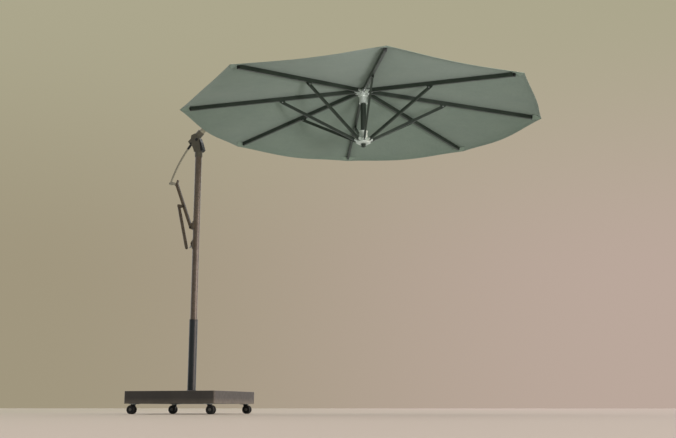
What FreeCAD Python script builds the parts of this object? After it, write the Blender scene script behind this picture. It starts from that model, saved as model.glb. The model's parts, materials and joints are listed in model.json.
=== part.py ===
"""Cantilever parasol: ballasted base on casters, swivelling mast, lever-raised boom, eight-rib canopy.

The origin is on the floor under the mast. +X runs from the mast along the boom to the canopy,
+Z is up, and the boom, the link and the lever all lie in the plane Y = 0. Millimetres.
"""
import FreeCAD, Part
import math
import os

from FreeCAD import Placement, Rotation, Vector

os.makedirs("parts", exist_ok=True)
doc = FreeCAD.newDocument("cantilever_parasol")

# ---------------------------------------------------------------- driving dimensions
DIMENSIONS = [
    # base
    ("base_side", 800, "side of the square base"),
    ("base_bottom", 82, "underside of the base above the floor"),
    ("base_rise", 100, "height of the base cover"),
    ("base_corner", 18, "radius of the cover's upright corners"),
    ("base_top_round", 3, "radius round the cover's top edge"),
    ("sheet_wall", 2, "sheet thickness of the cover"),
    ("tray_wall", 3, "plate thickness of the tray"),
    ("tray_rise", 60, "height of the tray's rim"),
    ("slab_rise", 75, "thickness of a ballast slab"),
    ("tray_gap", 1, "gap between the tray and the cover"),
    ("slab_gap", 10, "gap between neighbouring slabs, and between the slabs and the tray's rim"),
    ("slab_corner", 6, "radius of a slab's upright corners"),
    ("slab_notch", 76, "radius cut from each slab for the socket flange"),
    ("flange_radius", 70, "socket flange"),
    ("flange_plate", 8, "thickness of the socket flange"),
    ("bolt_circle", 52, "radius of the socket's bolt circle"),
    ("bolt_radius", 5, "socket bolt"),
    ("drill_run", 30, "length of the drills that cut holes through plates"),
    ("sleeve_radius", 35, "outside of the socket sleeve"),
    ("sleeve_wall", 3.5, "wall of the socket sleeve"),
    ("sleeve_top", 772, "top of the socket sleeve"),
    ("bush_rise", 40, "length of a mast bush inside the sleeve"),
    ("bush_lip", 6, "height of the upper bush's lip"),
    # casters
    ("caster_along", 328, "swivel axis of a caster from the mast axis, along X"),
    ("caster_across", 352, "swivel axis of a caster from the mast axis, along Y"),
    ("caster_trail", 22, "wheel axis from the swivel axis"),
    ("caster_plate", 4, "thickness of the caster's mounting plate"),
    ("caster_plate_side", 66, "side of the caster's mounting plate"),
    ("caster_plate_corner", 8, "radius of the mounting plate's corners"),
    ("caster_hub", 14, "radius of the housing round the swivel axis"),
    ("caster_web", 25, "radius of the housing between the two wheels"),
    ("caster_arm_bottom", 44, "underside of the arm from the swivel to the wheels"),
    ("wheel_radius", 35, "caster wheel"),
    ("wheel_inner", 7.5, "inner face of a wheel from the middle of the caster"),
    ("wheel_width", 18, "width of one wheel of the pair"),
    ("axle_radius", 4, "wheel axle"),
    ("stem_radius", 6, "swivel stem"),
    ("stem_rise", 10, "height of the stem over the underside of the base"),
    # fits
    ("running_gap", 0.05, "radial clearance of a running fit"),
    ("side_gap", 0.4, "clearance between a lug and its fork"),
    # mast and head
    ("mast_radius", 29, "outside of the mast tube"),
    ("mast_wall", 3, "wall of the mast tube"),
    ("mast_bottom", 100, "lower end of the mast tube"),
    ("mast_top", 2236, "upper end of the mast tube"),
    ("head_width", 64, "mast head across the boom plane"),
    ("knuckle_width", 40, "boom knuckle across the boom plane"),
    ("boom_pivot_x", -8, "boom pivot"),
    ("boom_pivot_z", 2346, "boom pivot"),
    ("boom_pin_radius", 8, "boom pivot pin"),
    ("head_ear_radius", 27, "round top of the mast head about the boom pivot"),
    ("head_collar_wall", 4, "wall of the head's collar round the mast"),
    ("saddle_edge", 2, "front edges of the lever and latch saddles from the mast axis"),
    ("lever_collar_bottom", 1550, "lower end of the lever bracket"),
    ("lever_collar_rise", 72, "height of the lever bracket's collar"),
    ("lever_collar_wall", 6, "wall of the lever bracket's collar"),
    ("lever_boss", 14, "round boss of the lever about its pivot"),
    ("latch_collar_bottom", 1384, "lower end of the latch bracket"),
    ("latch_collar_rise", 76, "height of the latch bracket's collar"),
    ("latch_collar_wall", 5, "wall of the latch bracket's collar"),
    ("latch_pin_x", -40, "latch pin"),
    ("latch_pin_z", 1432, "latch pin"),
    ("latch_pin_radius", 2.5, "latch pin"),
    ("latch_width", 8, "latch hook across the boom plane"),
    # boom
    ("boom_radius", 27, "outside of the boom tube"),
    ("boom_wall", 3, "wall of the boom tube"),
    ("boom_start_angle", 45, "slope of the boom as it leaves the knuckle"),
    ("boom_end_angle", 4, "slope of the boom's straight outer stretch"),
    ("boom_bend_radius", 1337, "bend between the two"),
    ("boom_inner_run", 47, "straight length of the boom inside the knuckle"),
    ("boom_outer_run", 655, "straight outer stretch of the boom"),
    ("boom_start_x", -3, "start of the boom's centre line"),
    ("boom_start_z", 2395, "start of the boom's centre line"),
    ("socket_radius", 31, "outside of the sockets on the boom's two ends"),
    ("fork_cover_run", 90, "length of the boom inside the fork's socket"),
    ("fork_cap", 6, "thickness of the closed end of the fork's socket"),
    ("fork_radius", 22, "round end of the fork about the hanger pin"),
    ("fork_width", 52, "boom fork across the boom plane"),
    ("fork_gap", 36, "gap between the boom fork's cheeks"),
    # link, lever and grip
    ("link_top_x", -70, "link pin in the knuckle's ear"),
    ("link_top_z", 2320, "link pin in the knuckle's ear"),
    ("link_foot_x", -262, "link pin at the lever"),
    ("link_foot_z", 1975, "link pin at the lever"),
    ("link_bow", 18, "height of the link's bow over its chord"),
    ("link_depth", 14, "link bar in the boom plane"),
    ("link_width", 10, "link bar across the boom plane"),
    ("link_pin_radius", 4, "pins at both ends of the link"),
    ("link_free_hole", 8, "hole of the link's lower eye, which rides loosely on its pin"),
    ("lever_pivot_x", -52, "lever pivot"),
    ("lever_pivot_z", 1572, "lever pivot"),
    ("lever_length", 420, "lever from its pivot to its head"),
    ("lever_lean", 20.8, "lean of the lever away from the mast"),
    ("lever_depth", 24, "lever in the boom plane"),
    ("lever_width", 22, "lever across the boom plane"),
    ("lever_pin_radius", 5, "lever pivot pin"),
    ("grip_along_lever", 205, "grip pivot from the lever pivot, along the lever"),
    ("grip_radius", 13, "grip bar"),
    ("grip_pin_radius", 4, "grip pivot pin"),
    ("grip_fork_width", 30, "grip's cheeks across the boom plane"),
    ("grip_standoff", 50, "top of the grip bar from the grip pivot, away from the mast"),
    ("grip_foot_x", -88, "foot of the grip bar"),
    ("grip_foot_z", 1396, "foot of the grip bar"),
    # canopy frame
    ("canopy_reach", 1500, "canopy axis from the mast axis"),
    ("canopy_radius", 1508, "canopy centre to a corner"),
    ("canopy_corner_z", 2440, "height of the cloth's corners"),
    ("canopy_bulge", 22, "outward bulge of the hem between two corners"),
    ("canopy_sag", 29, "sag of the hem between two corners"),
    ("cloth", 1.6, "cloth with its seams"),
    ("cloth_gap", 1.5, "cloth above the ribs"),
    ("cloth_hole", 36, "hole in the middle of the cloth"),
    ("hang_pin_z", 2800, "pin that hangs the canopy from the boom"),
    ("hang_pin_radius", 6, "hanger pin"),
    ("stem_top_z", 2768, "top of the hanger's round stem"),
    ("hanger_flange", 48, "radius of the flange over the cloth"),
    ("hanger_plate", 6, "thickness of the flange over the cloth"),
    ("hanger_lug", 16, "radius of the hanger's lug about its pin"),
    ("hub_bottom", 2528, "lower end of the crown hub's collar"),
    ("hub_collar", 33, "radius of the crown hub's collar"),
    ("hub_core", 40, "radius of the crown hub's core"),
    ("hub_core_bottom", 2590, "lower end of the crown hub's core"),
    ("hub_core_top", 2648, "upper end of the crown hub's core"),
    ("hub_neck", 30, "radius of the crown hub's neck"),
    ("hub_top", 2655, "top of the crown hub's neck"),
    ("rib_root", 66, "rib pivot from the canopy axis"),
    ("rib_root_z", 2630, "height of the rib pivots"),
    ("rib_tip", 1420, "rib tip from the canopy axis"),
    ("rib_tip_z", 2446.5, "height of the rib tips' centre line"),
    ("rib_depth", 32, "rib tube, depth"),
    ("rib_width", 20, "rib tube, width"),
    ("rib_wall", 1.6, "rib tube, wall"),
    ("rib_pin_radius", 3, "pins of the ribs and the struts"),
    ("strut_joint", 613, "strut joint from the rib pivot, along the rib"),
    ("strut_drop", 29, "strut joint below the rib's centre line"),
    ("strut_depth", 24, "strut tube, depth"),
    ("strut_width", 14, "strut tube, width"),
    ("strut_wall", 1.5, "strut tube, wall"),
    ("strut_foot", 66, "lower end of a strut from the canopy axis"),
    ("strut_foot_z", 2213, "height of the struts' lower ends"),
    ("lug_plate", 4, "thickness of the hubs' lugs"),
    ("lug_root", 28, "inner end of the lugs, inside the hubs"),
    ("crown_lug_round", 11, "round end of a crown lug about its rib pin"),
    ("crown_lug_web", 24, "depth of a crown lug below its rib pin, next to the hub"),
    ("runner_lug_round", 11, "round end of a runner lug about its strut pin"),
    ("runner_core_rise", 34, "height of the runner's thick core over its dish"),
    ("collar_lip", 2.5, "bead round the open end of each hub"),
    ("runner_bottom", 2180, "underside of the runner's dish"),
    ("runner_dish", 59, "radius of the runner's dish"),
    ("runner_dish_top", 2196, "top of the runner's dish"),
    ("runner_radius", 35, "runner sleeve"),
    ("runner_top", 2290, "top of the runner sleeve"),
    ("spacer_radius", 23, "spacer tube between the two hubs"),
    ("spacer_wall", 2.5, "wall of the spacer tube"),
    ("spacer_bottom", 2152, "lower end of the spacer tube's nose"),
    ("spacer_nose", 25, "length of the spacer tube's threaded nose"),
    ("spacer_top", 2575, "upper end of the spacer tube, inside the crown hub"),
]

dims = doc.addObject("Spreadsheet::Sheet", "dims")
for row, (alias, value, meaning) in enumerate(DIMENSIONS, start=1):
    dims.set("A%d" % row, meaning)
    dims.set("B%d" % row, str(value))
    dims.setAlias("B%d" % row, alias)
doc.recompute()

RIB_COUNT = 8
FIRST_RIB_ANGLE = 22.5
CORNERS = [(1, 1), (-1, 1), (-1, -1), (1, -1)]
ALONG_Y = Rotation(Vector(1, 0, 0), -90)
pieces = []


def size(alias):
    """Read one driving dimension."""
    return float(dims.get(alias))


# ---------------------------------------------------------------- small builders
def bind(thing, **formulas):
    """Tie properties of an object to formulas over the sheet."""
    for name, formula in formulas.items():
        thing.setExpression(name, formula)
    return thing


def at(thing, x="0", y="0", z="0"):
    """Tie the position of an object to formulas over the sheet."""
    thing.setExpression("Placement.Base.x", x)
    thing.setExpression("Placement.Base.y", y)
    thing.setExpression("Placement.Base.z", z)
    return thing


def box(name, length, width, height, x="0", y="0", z="0"):
    """A box whose length runs from x, whose width is centred on y and whose height stands on z."""
    thing = doc.addObject("Part::Box", name)
    bind(thing, Length=length, Width=width, Height=height)
    return at(thing, x, "%s - (%s) / 2" % (y, width), z)


def upright(name, radius, height, x="0", y="0", z="0"):
    """A cylinder standing on z."""
    thing = doc.addObject("Part::Cylinder", name)
    bind(thing, Radius=radius, Height=height)
    return at(thing, x, y, z)


def crosswise(name, radius, length, x="0", z="0"):
    """A cylinder across the boom plane, centred on it."""
    thing = doc.addObject("Part::Cylinder", name)
    bind(thing, Radius=radius, Height=length)
    thing.Placement = Placement(Vector(), ALONG_Y)
    return at(thing, x, "-(%s) / 2" % length, z)


def slanted(name, radius, length, x, z, angle):
    """A cylinder in the boom plane that starts at x, z and climbs towards +X at the angle."""
    thing = doc.addObject("Part::Cylinder", name)
    bind(thing, Radius=radius, Height=length)
    thing.Placement = Placement(Vector(), Rotation(Vector(0, 1, 0), 90 - angle))
    return at(thing, x, "0", z)


def fuse(name, *things):
    thing = doc.addObject("Part::MultiFuse", name)
    thing.Shapes = list(things)
    return thing


def cut(name, base, *tools):
    """The base with every tool taken away."""
    for step, tool in enumerate(tools):
        thing = doc.addObject("Part::Cut", "%s_cut%d" % (name, step))
        thing.Base = base
        thing.Tool = tool
        base = thing
    return base


def group(name, *things):
    """Separate solids that share one node."""
    thing = doc.addObject("Part::Compound", name)
    thing.Links = list(things)
    return thing


def prism(name, outline, width):
    """An outline in the boom plane, thickened equally to both sides of it."""
    flat = doc.addObject("Part::Polygon", name + "_outline")
    flat.Nodes = [Vector(x, 0, z) for x, z in outline]
    flat.Close = True
    thing = doc.addObject("Part::Extrusion", name)
    thing.Base = flat
    thing.DirMode = "Custom"
    thing.Dir = Vector(0, 1, 0)
    thing.Symmetric = True
    thing.Solid = True
    return bind(thing, LengthFwd=width)


def turned(name, profile, axis):
    """A closed profile of (radius, distance along the axis) points, turned about the axis."""
    flat = doc.addObject("Part::Polygon", name + "_profile")
    if axis == "Y":
        flat.Nodes = [Vector(radius, along, 0) for radius, along in profile]
        direction = Vector(0, 1, 0)
    else:
        flat.Nodes = [Vector(radius, 0, along) for radius, along in profile]
        direction = Vector(0, 0, 1)
    flat.Close = True
    thing = doc.addObject("Part::Revolution", name)
    thing.Source = flat
    thing.Axis = direction
    thing.Angle = 360
    thing.Solid = True
    return thing


def rounded(name, base, radius, wanted):
    """The base with every edge that the test picks rounded."""
    doc.recompute()
    thing = doc.addObject("Part::Fillet", name)
    thing.Base = base
    picked = [n for n, edge in enumerate(base.Shape.Edges, start=1) if wanted(edge)]
    thing.Edges = [(n, radius, radius) for n in picked]
    return thing


def is_upright(edge):
    """True for a straight edge that stands along Z."""
    ends = [vertex.Point for vertex in edge.Vertexes]
    if len(ends) != 2:
        return False
    run = ends[1] - ends[0]
    return abs(run.z) > 1 and math.hypot(run.x, run.y) < 1e-6


def drill(name, radius, x, y, middle):
    """An upright cylinder that cuts a hole through a plate whose middle is at that height."""
    return upright(name, radius, "dims.drill_run", x, y, "(%s) - dims.drill_run / 2" % middle)


def piece(thing, label, placement=None):
    """Name a finished sub-part, place it and keep it for the export."""
    thing.Label = label
    if placement is not None:
        thing.Placement = placement
    pieces.append(thing)
    return thing


def point_on_lever(along):
    """A point on the lever's centre line."""
    lean = math.radians(size("lever_lean"))
    return (size("lever_pivot_x") - along * math.sin(lean), size("lever_pivot_z") + along * math.cos(lean))


# ---------------------------------------------------------------- base
def make_base_cover():
    """Folded sheet box, open underneath, with a hole for the socket sleeve."""
    shell = box("cover_block", "dims.base_side", "dims.base_side", "dims.base_rise",
                "-dims.base_side / 2", "0", "dims.base_bottom")
    shell = rounded("cover_corners", shell, size("base_corner"), is_upright)
    top = size("base_bottom") + size("base_rise")
    shell = rounded("cover_top_round", shell, size("base_top_round"),
                    lambda edge: all(abs(v.Point.z - top) < 1e-6 for v in edge.Vertexes))
    inside = box("cover_inside", "dims.base_side - 2 * dims.sheet_wall",
                 "dims.base_side - 2 * dims.sheet_wall",
                 "dims.base_rise - dims.sheet_wall", "dims.sheet_wall - dims.base_side / 2", "0",
                 "dims.base_bottom")
    inside = rounded("cover_inside_corners", inside, size("base_corner") - size("sheet_wall"), is_upright)
    hole = upright("cover_hole", "dims.sleeve_radius + dims.side_gap", "2 * dims.base_rise",
                   z="dims.base_bottom")
    piece(cut("cover", shell, inside, hole), "base_cover")


def make_base_tray():
    """Steel tray that carries the slabs; the casters and the socket are bolted through its floor."""
    side = "(dims.base_side - 2 * (dims.sheet_wall + dims.tray_gap))"
    room = "(%s - 2 * dims.tray_wall)" % side
    tray = box("tray_block", side, side, "dims.tray_rise", "-%s / 2" % side, "0", "dims.base_bottom")
    tray = rounded("tray_corners", tray, size("base_corner") - size("sheet_wall"), is_upright)
    inside = box("tray_inside", room, room, "dims.tray_rise", "-%s / 2" % room, "0",
                 "dims.base_bottom + dims.tray_wall")
    holes = []
    for corner, (along, across) in enumerate(CORNERS, start=1):
        holes.append(drill("tray_stem_hole_%d" % corner, "1.5 * dims.stem_radius",
                           "%d * dims.caster_along" % along,
                           "%d * dims.caster_across" % across, "dims.base_bottom"))
        holes.append(drill("tray_bolt_hole_%d" % corner, "dims.bolt_radius",
                           "%d * dims.bolt_circle * sin(45)" % along,
                           "%d * dims.bolt_circle * sin(45)" % across,
                           "dims.base_bottom"))
    piece(cut("tray", tray, inside, *holes), "base_tray")


def make_ballast_slabs():
    """Four concrete slabs, one in each quarter of the tray, cut away round the socket flange."""
    slabs = []
    slab_side = "(dims.base_side / 2 - 1.5 * dims.slab_gap)"
    for corner, (along, across) in enumerate(CORNERS, start=1):
        centre = "(dims.slab_gap + %s) / 2" % slab_side
        slab = box("slab_block_%d" % corner, slab_side, slab_side, "dims.slab_rise",
                   "%d * %s - %s / 2" % (along, centre, slab_side), "%d * %s" % (across, centre),
                   "dims.base_bottom + dims.tray_wall")
        slab = rounded("slab_round_%d" % corner, slab, size("slab_corner"), is_upright)
        notch = upright("slab_notch_%d" % corner, "dims.slab_notch", "2 * dims.slab_rise",
                        z="dims.base_bottom")
        stem_room = upright("slab_stem_room_%d" % corner, "2 * dims.stem_radius", "2 * dims.stem_rise",
                            "%d * dims.caster_along" % along, "%d * dims.caster_across" % across,
                            "dims.base_bottom")
        slabs.append(cut("slab_%d" % corner, slab, notch, stem_room))
    piece(group("slabs", *slabs), "ballast_slabs")


def make_socket():
    """Sleeve with a flange, its four bolts and the two plastic bushes that the mast turns in."""
    floor = "dims.base_bottom + dims.tray_wall"
    flange = upright("socket_flange", "dims.flange_radius", "dims.flange_plate", z=floor)
    tube = upright("socket_tube", "dims.sleeve_radius", "dims.sleeve_top - (%s)" % floor, z=floor)
    bore = upright("socket_bore", "dims.sleeve_radius - dims.sleeve_wall", "dims.sleeve_top",
                   z="%s + dims.flange_plate / 2" % floor)
    holes = []
    bolts = []
    for corner, (along, across) in enumerate(CORNERS, start=1):
        x = "%d * dims.bolt_circle * sin(45)" % along
        y = "%d * dims.bolt_circle * sin(45)" % across
        holes.append(drill("flange_hole_%d" % corner, "dims.bolt_radius", x, y, floor))
        shank = upright("bolt_shank_%d" % corner, "dims.bolt_radius", "dims.tray_wall + dims.flange_plate",
                        x, y,
                        "dims.base_bottom")
        head = doc.addObject("Part::Prism", "bolt_head_%d" % corner)
        bind(head, Circumradius="1.8 * dims.bolt_radius", Height="1.3 * dims.bolt_radius")
        at(head, x, y, "%s + dims.flange_plate" % floor)
        bolts.append(fuse("bolt_%d" % corner, shank, head))
    piece(cut("socket", fuse("socket_blank", flange, tube), bore, *holes), "socket_sleeve")
    piece(group("bolts", *bolts), "socket_bolts")

    mast_hole = "dims.mast_radius + dims.running_gap"
    inside = "dims.sleeve_radius - dims.sleeve_wall"
    cup = upright("lower_bush_blank", inside, "dims.bush_rise", z="%s + dims.flange_plate / 2" % floor)
    cup_hole = upright("lower_bush_hole", mast_hole, "dims.bush_rise",
                       z="dims.mast_bottom - dims.running_gap")
    ring = upright("upper_bush_blank", inside, "dims.bush_rise", z="dims.sleeve_top - dims.bush_rise")
    lip = upright("upper_bush_lip", "dims.sleeve_radius + 1", "dims.bush_lip", z="dims.sleeve_top")
    ring_hole = upright("upper_bush_hole", mast_hole, "2 * dims.bush_rise",
                        z="dims.sleeve_top - dims.bush_rise")
    lower = cut("lower_bush", cup, cup_hole)
    upper = cut("upper_bush", fuse("upper_bush_body", ring, lip), ring_hole)
    piece(group("bushes", lower, upper), "mast_bushes")


# ---------------------------------------------------------------- casters
def make_caster_plates():
    """Square plates under the tray, one over each caster, drilled for its stem."""
    plates = []
    for corner, (along, across) in enumerate(CORNERS, start=1):
        x = "%d * dims.caster_along" % along
        y = "%d * dims.caster_across" % across
        plate = box("plate_block_%d" % corner, "dims.caster_plate_side", "dims.caster_plate_side",
                    "dims.caster_plate", x + " - dims.caster_plate_side / 2", y,
                    "dims.base_bottom - dims.caster_plate")
        plate = rounded("plate_round_%d" % corner, plate, size("caster_plate_corner"), is_upright)
        hole = drill("plate_hole_%d" % corner, "dims.stem_radius + dims.running_gap", x, y,
                     "dims.base_bottom")
        plates.append(cut("plate_%d" % corner, plate, hole))
    piece(group("plates", *plates), "caster_plates")


def make_caster(corner, along, across):
    """One twin-wheel caster. It stands so that its wheels trail away from the mast."""
    tag = "_%d" % corner
    trail = along * size("caster_trail")
    head_top = "(dims.base_bottom - dims.caster_plate - dims.side_gap)"
    over_wheel = "(2 * dims.wheel_radius + 1)"
    between_wheels = "(2 * dims.wheel_inner - 4 * dims.side_gap)"
    arm_run = "(dims.caster_trail + dims.caster_hub)"
    hub = upright("caster_hub" + tag, "dims.caster_hub", "%s - %s" % (head_top, over_wheel), z=over_wheel)
    stem = upright("caster_stem" + tag, "dims.stem_radius",
                   "dims.base_bottom + dims.stem_rise - " + over_wheel,
                   z=over_wheel)
    web = crosswise("caster_web" + tag, "dims.caster_web", between_wheels, str(trail), "dims.wheel_radius")
    arm = box("caster_arm" + tag, arm_run, between_wheels, head_top + " - dims.caster_arm_bottom",
              "(%s) / 2 - %s / 2" % (trail, arm_run), "0", "dims.caster_arm_bottom")
    bore = crosswise("caster_bore" + tag, "dims.axle_radius + dims.running_gap", "4 * dims.wheel_inner",
                     str(trail),
                     "dims.wheel_radius")
    place = Placement(Vector(along * size("caster_along"), across * size("caster_across"), 0), Rotation())
    housing = cut("caster_housing" + tag, fuse("caster_blank" + tag, hub, stem, web, arm), bore)
    piece(housing, "caster_housing" + tag, place)

    outer = size("wheel_radius")
    inner_face = size("wheel_inner")
    outer_face = inner_face + size("wheel_width")
    axle = size("axle_radius")
    shoulder = 4
    rim = 8
    recess = outer_face - 3
    profile = [(axle, inner_face), (outer - shoulder, inner_face), (outer, inner_face + shoulder),
               (outer, outer_face - shoulder), (outer - shoulder, outer_face), (outer - rim, outer_face),
               (outer - rim - 1, recess), (3 * axle, recess), (2.5 * axle, outer_face), (axle, outer_face)]
    near = turned("wheel_near" + tag, profile, "Y")
    far = turned("wheel_far" + tag, [(radius, -distance) for radius, distance in profile], "Y")
    shaft = crosswise("wheel_axle" + tag, "dims.axle_radius", "2 * (dims.wheel_inner + dims.wheel_width)")
    hub_spot = Vector(along * size("caster_along") + trail, across * size("caster_across"), outer)
    piece(group("wheels" + tag, near, far, shaft), "caster_wheels" + tag, Placement(hub_spot, Rotation()))


# ---------------------------------------------------------------- mast
def make_mast_tube():
    outer = upright("mast_outer", "dims.mast_radius", "dims.mast_top - dims.mast_bottom",
                    z="dims.mast_bottom")
    inner = upright("mast_inner", "dims.mast_radius - dims.mast_wall", "dims.mast_top",
                    z="dims.mast_bottom - 1")
    piece(cut("mast", outer, inner), "mast_tube")


def make_mast_head():
    """Cast head on top of the mast: a collar that flares into a fork for the boom knuckle."""
    pivot_x = size("boom_pivot_x")
    pivot_z = size("boom_pivot_z")
    ear = size("head_ear_radius")
    collar_top = size("mast_top") + 14
    collar = size("mast_radius") + size("head_collar_wall")
    outline = [(collar, collar_top - 10), (30, collar_top + 6), (pivot_x + 0.9 * ear, pivot_z - 0.45 * ear),
               (pivot_x - 0.98 * ear, pivot_z - 5), (-52, collar_top + 58), (-51, collar_top + 44),
               (-collar, collar_top), (-collar, collar_top - 10)]
    fork = prism("head_fork", outline, "dims.head_width")
    ears = crosswise("head_ears", "dims.head_ear_radius", "dims.head_width", "dims.boom_pivot_x",
                     "dims.boom_pivot_z")
    sleeve = upright("head_collar", "dims.mast_radius + dims.head_collar_wall", "54",
                     z="dims.mast_top - 40")
    bore = upright("head_bore", "dims.mast_radius", "60", z="dims.mast_top - 60")
    slot = box("head_slot", "200", "dims.knuckle_width + 2 * dims.side_gap", "100", "-100", "0",
               "dims.boom_pivot_z - 37")
    pin_hole = crosswise("head_pin_hole", "dims.boom_pin_radius", "100", "dims.boom_pivot_x",
                         "dims.boom_pivot_z")
    piece(cut("head", fuse("head_blank", fork, ears, sleeve), bore, slot, pin_hole), "mast_head")

    inner = collar + 0.5
    cover = [(18, pivot_z + 4), (31, pivot_z - 22), (52, collar_top + 4), (inner, collar_top - 10),
             (inner, collar_top + 2), (pivot_x + 0.9 * ear + 0.5, pivot_z - 0.45 * ear)]
    cover_blank = prism("cover_blank", cover, "dims.head_width - 8")
    clear = crosswise("cover_clear", "dims.head_ear_radius + 0.3", "100", "dims.boom_pivot_x",
                      "dims.boom_pivot_z")
    piece(cut("front_cover", cover_blank, clear), "head_cover")


def make_mast_brackets():
    """Saddles on the back of the mast: the upper one carries the lever, the lower one the latch."""
    front = box("saddle_front", "100", "200", "400", "dims.saddle_edge", "0", "dims.latch_collar_bottom - 50")
    bottom = size("lever_collar_bottom")
    ring = upright("lever_collar", "dims.mast_radius + dims.lever_collar_wall", "dims.lever_collar_rise",
                   z="dims.lever_collar_bottom")
    outline = [(-20, bottom + 2), (-20, bottom + 64), (-40, bottom + 60), (-63, bottom + 34),
               (-63, bottom + 12), (-50, bottom + 6)]
    cheeks = prism("lever_cheeks", outline, "dims.lever_width + 12")
    slot = box("lever_slot", "60", "dims.lever_width + 2 * dims.side_gap", "120", "-36 - 60", "0",
               "dims.lever_collar_bottom - 30")
    clear = crosswise("lever_clear", "dims.lever_boss + 1.5", "dims.lever_width + 2 * dims.side_gap",
                      "dims.lever_pivot_x", "dims.lever_pivot_z")
    bore = upright("lever_bore", "dims.mast_radius", "200", z="dims.lever_collar_bottom - 50")
    hole = crosswise("lever_pin_hole", "dims.lever_pin_radius", "60", "dims.lever_pivot_x",
                     "dims.lever_pivot_z")
    saddle = fuse("lever_blank", ring, cheeks)
    piece(cut("lever_holder", saddle, slot, clear, bore, hole, front), "lever_bracket")

    bottom = size("latch_collar_bottom")
    ring = upright("latch_collar", "dims.mast_radius + dims.latch_collar_wall", "dims.latch_collar_rise",
                   z="dims.latch_collar_bottom")
    outline = [(-25, bottom + 6), (-25, bottom + 72), (-38, bottom + 68), (-46, bottom + 54),
               (-46, bottom + 42), (-36, bottom + 12)]
    nose = prism("latch_nose", outline, "dims.latch_width + 12")
    slot = box("latch_slot", "60", "dims.latch_width + 2 * dims.side_gap", "100", "-33 - 60", "0",
               "dims.latch_collar_bottom - 4")
    bore = upright("latch_bore", "dims.mast_radius", "200", z="dims.latch_collar_bottom - 50")
    hole = crosswise("latch_pin_hole", "dims.latch_pin_radius", "60", "dims.latch_pin_x",
                     "dims.latch_pin_z")
    piece(cut("latch_holder", fuse("latch_blank", ring, nose), slot, bore, hole, front), "latch_bracket")

    boom_pin = crosswise("boom_pin", "dims.boom_pin_radius", "dims.head_width + 6", "dims.boom_pivot_x",
                         "dims.boom_pivot_z")
    lever_pin = crosswise("lever_pin", "dims.lever_pin_radius", "dims.lever_width + 16",
                          "dims.lever_pivot_x",
                          "dims.lever_pivot_z")
    latch_pin = crosswise("latch_pin", "dims.latch_pin_radius", "dims.latch_width + 14", "dims.latch_pin_x",
                          "dims.latch_pin_z")
    piece(group("pins_on_mast", boom_pin, lever_pin, latch_pin), "mast_pins")


def make_latch_hook():
    """Small spring hook in the lower bracket that catches the foot of the grip."""
    pin_x = size("latch_pin_x")
    pin_z = size("latch_pin_z")
    boss = crosswise("hook_boss", "dims.latch_pin_radius + 4", "dims.latch_width", "dims.latch_pin_x",
                     "dims.latch_pin_z")
    outline = [(pin_x + 3, pin_z - 2), (pin_x - 5.5, pin_z - 2), (pin_x - 14, pin_z - 32), (pin_x - 20,
                                                                                            pin_z - 33),
               (pin_x - 20, pin_z - 39), (pin_x - 9, pin_z - 39)]
    arm = prism("hook_arm", outline, "dims.latch_width")
    hole = crosswise("hook_hole", "dims.latch_pin_radius + dims.running_gap", "30", "dims.latch_pin_x",
                     "dims.latch_pin_z")
    piece(cut("hook", fuse("hook_blank", boss, arm), hole), "latch_hook")


# ---------------------------------------------------------------- boom
def boom_centre_line():
    """Straight stub inside the knuckle, one long bend, straight outer stretch."""
    start_slope = math.radians(size("boom_start_angle"))
    end_slope = math.radians(size("boom_end_angle"))
    bend = size("boom_bend_radius")
    start = Vector(size("boom_start_x"), 0, size("boom_start_z"))
    bend_in = start + Vector(math.cos(start_slope), 0, math.sin(start_slope)) * size("boom_inner_run")
    centre = bend_in + Vector(math.sin(start_slope), 0, -math.cos(start_slope)) * bend

    def on_bend(slope):
        return centre + Vector(-math.sin(slope), 0, math.cos(slope)) * bend

    bend_out = on_bend(end_slope)
    end = bend_out + Vector(math.cos(end_slope), 0, math.sin(end_slope)) * size("boom_outer_run")
    middle = on_bend((start_slope + end_slope) / 2)
    edges = [Part.LineSegment(start, bend_in), Part.Arc(bend_in, middle, bend_out),
             Part.LineSegment(bend_out, end)]
    return Part.Wire([edge.toShape() for edge in edges]), end


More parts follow.
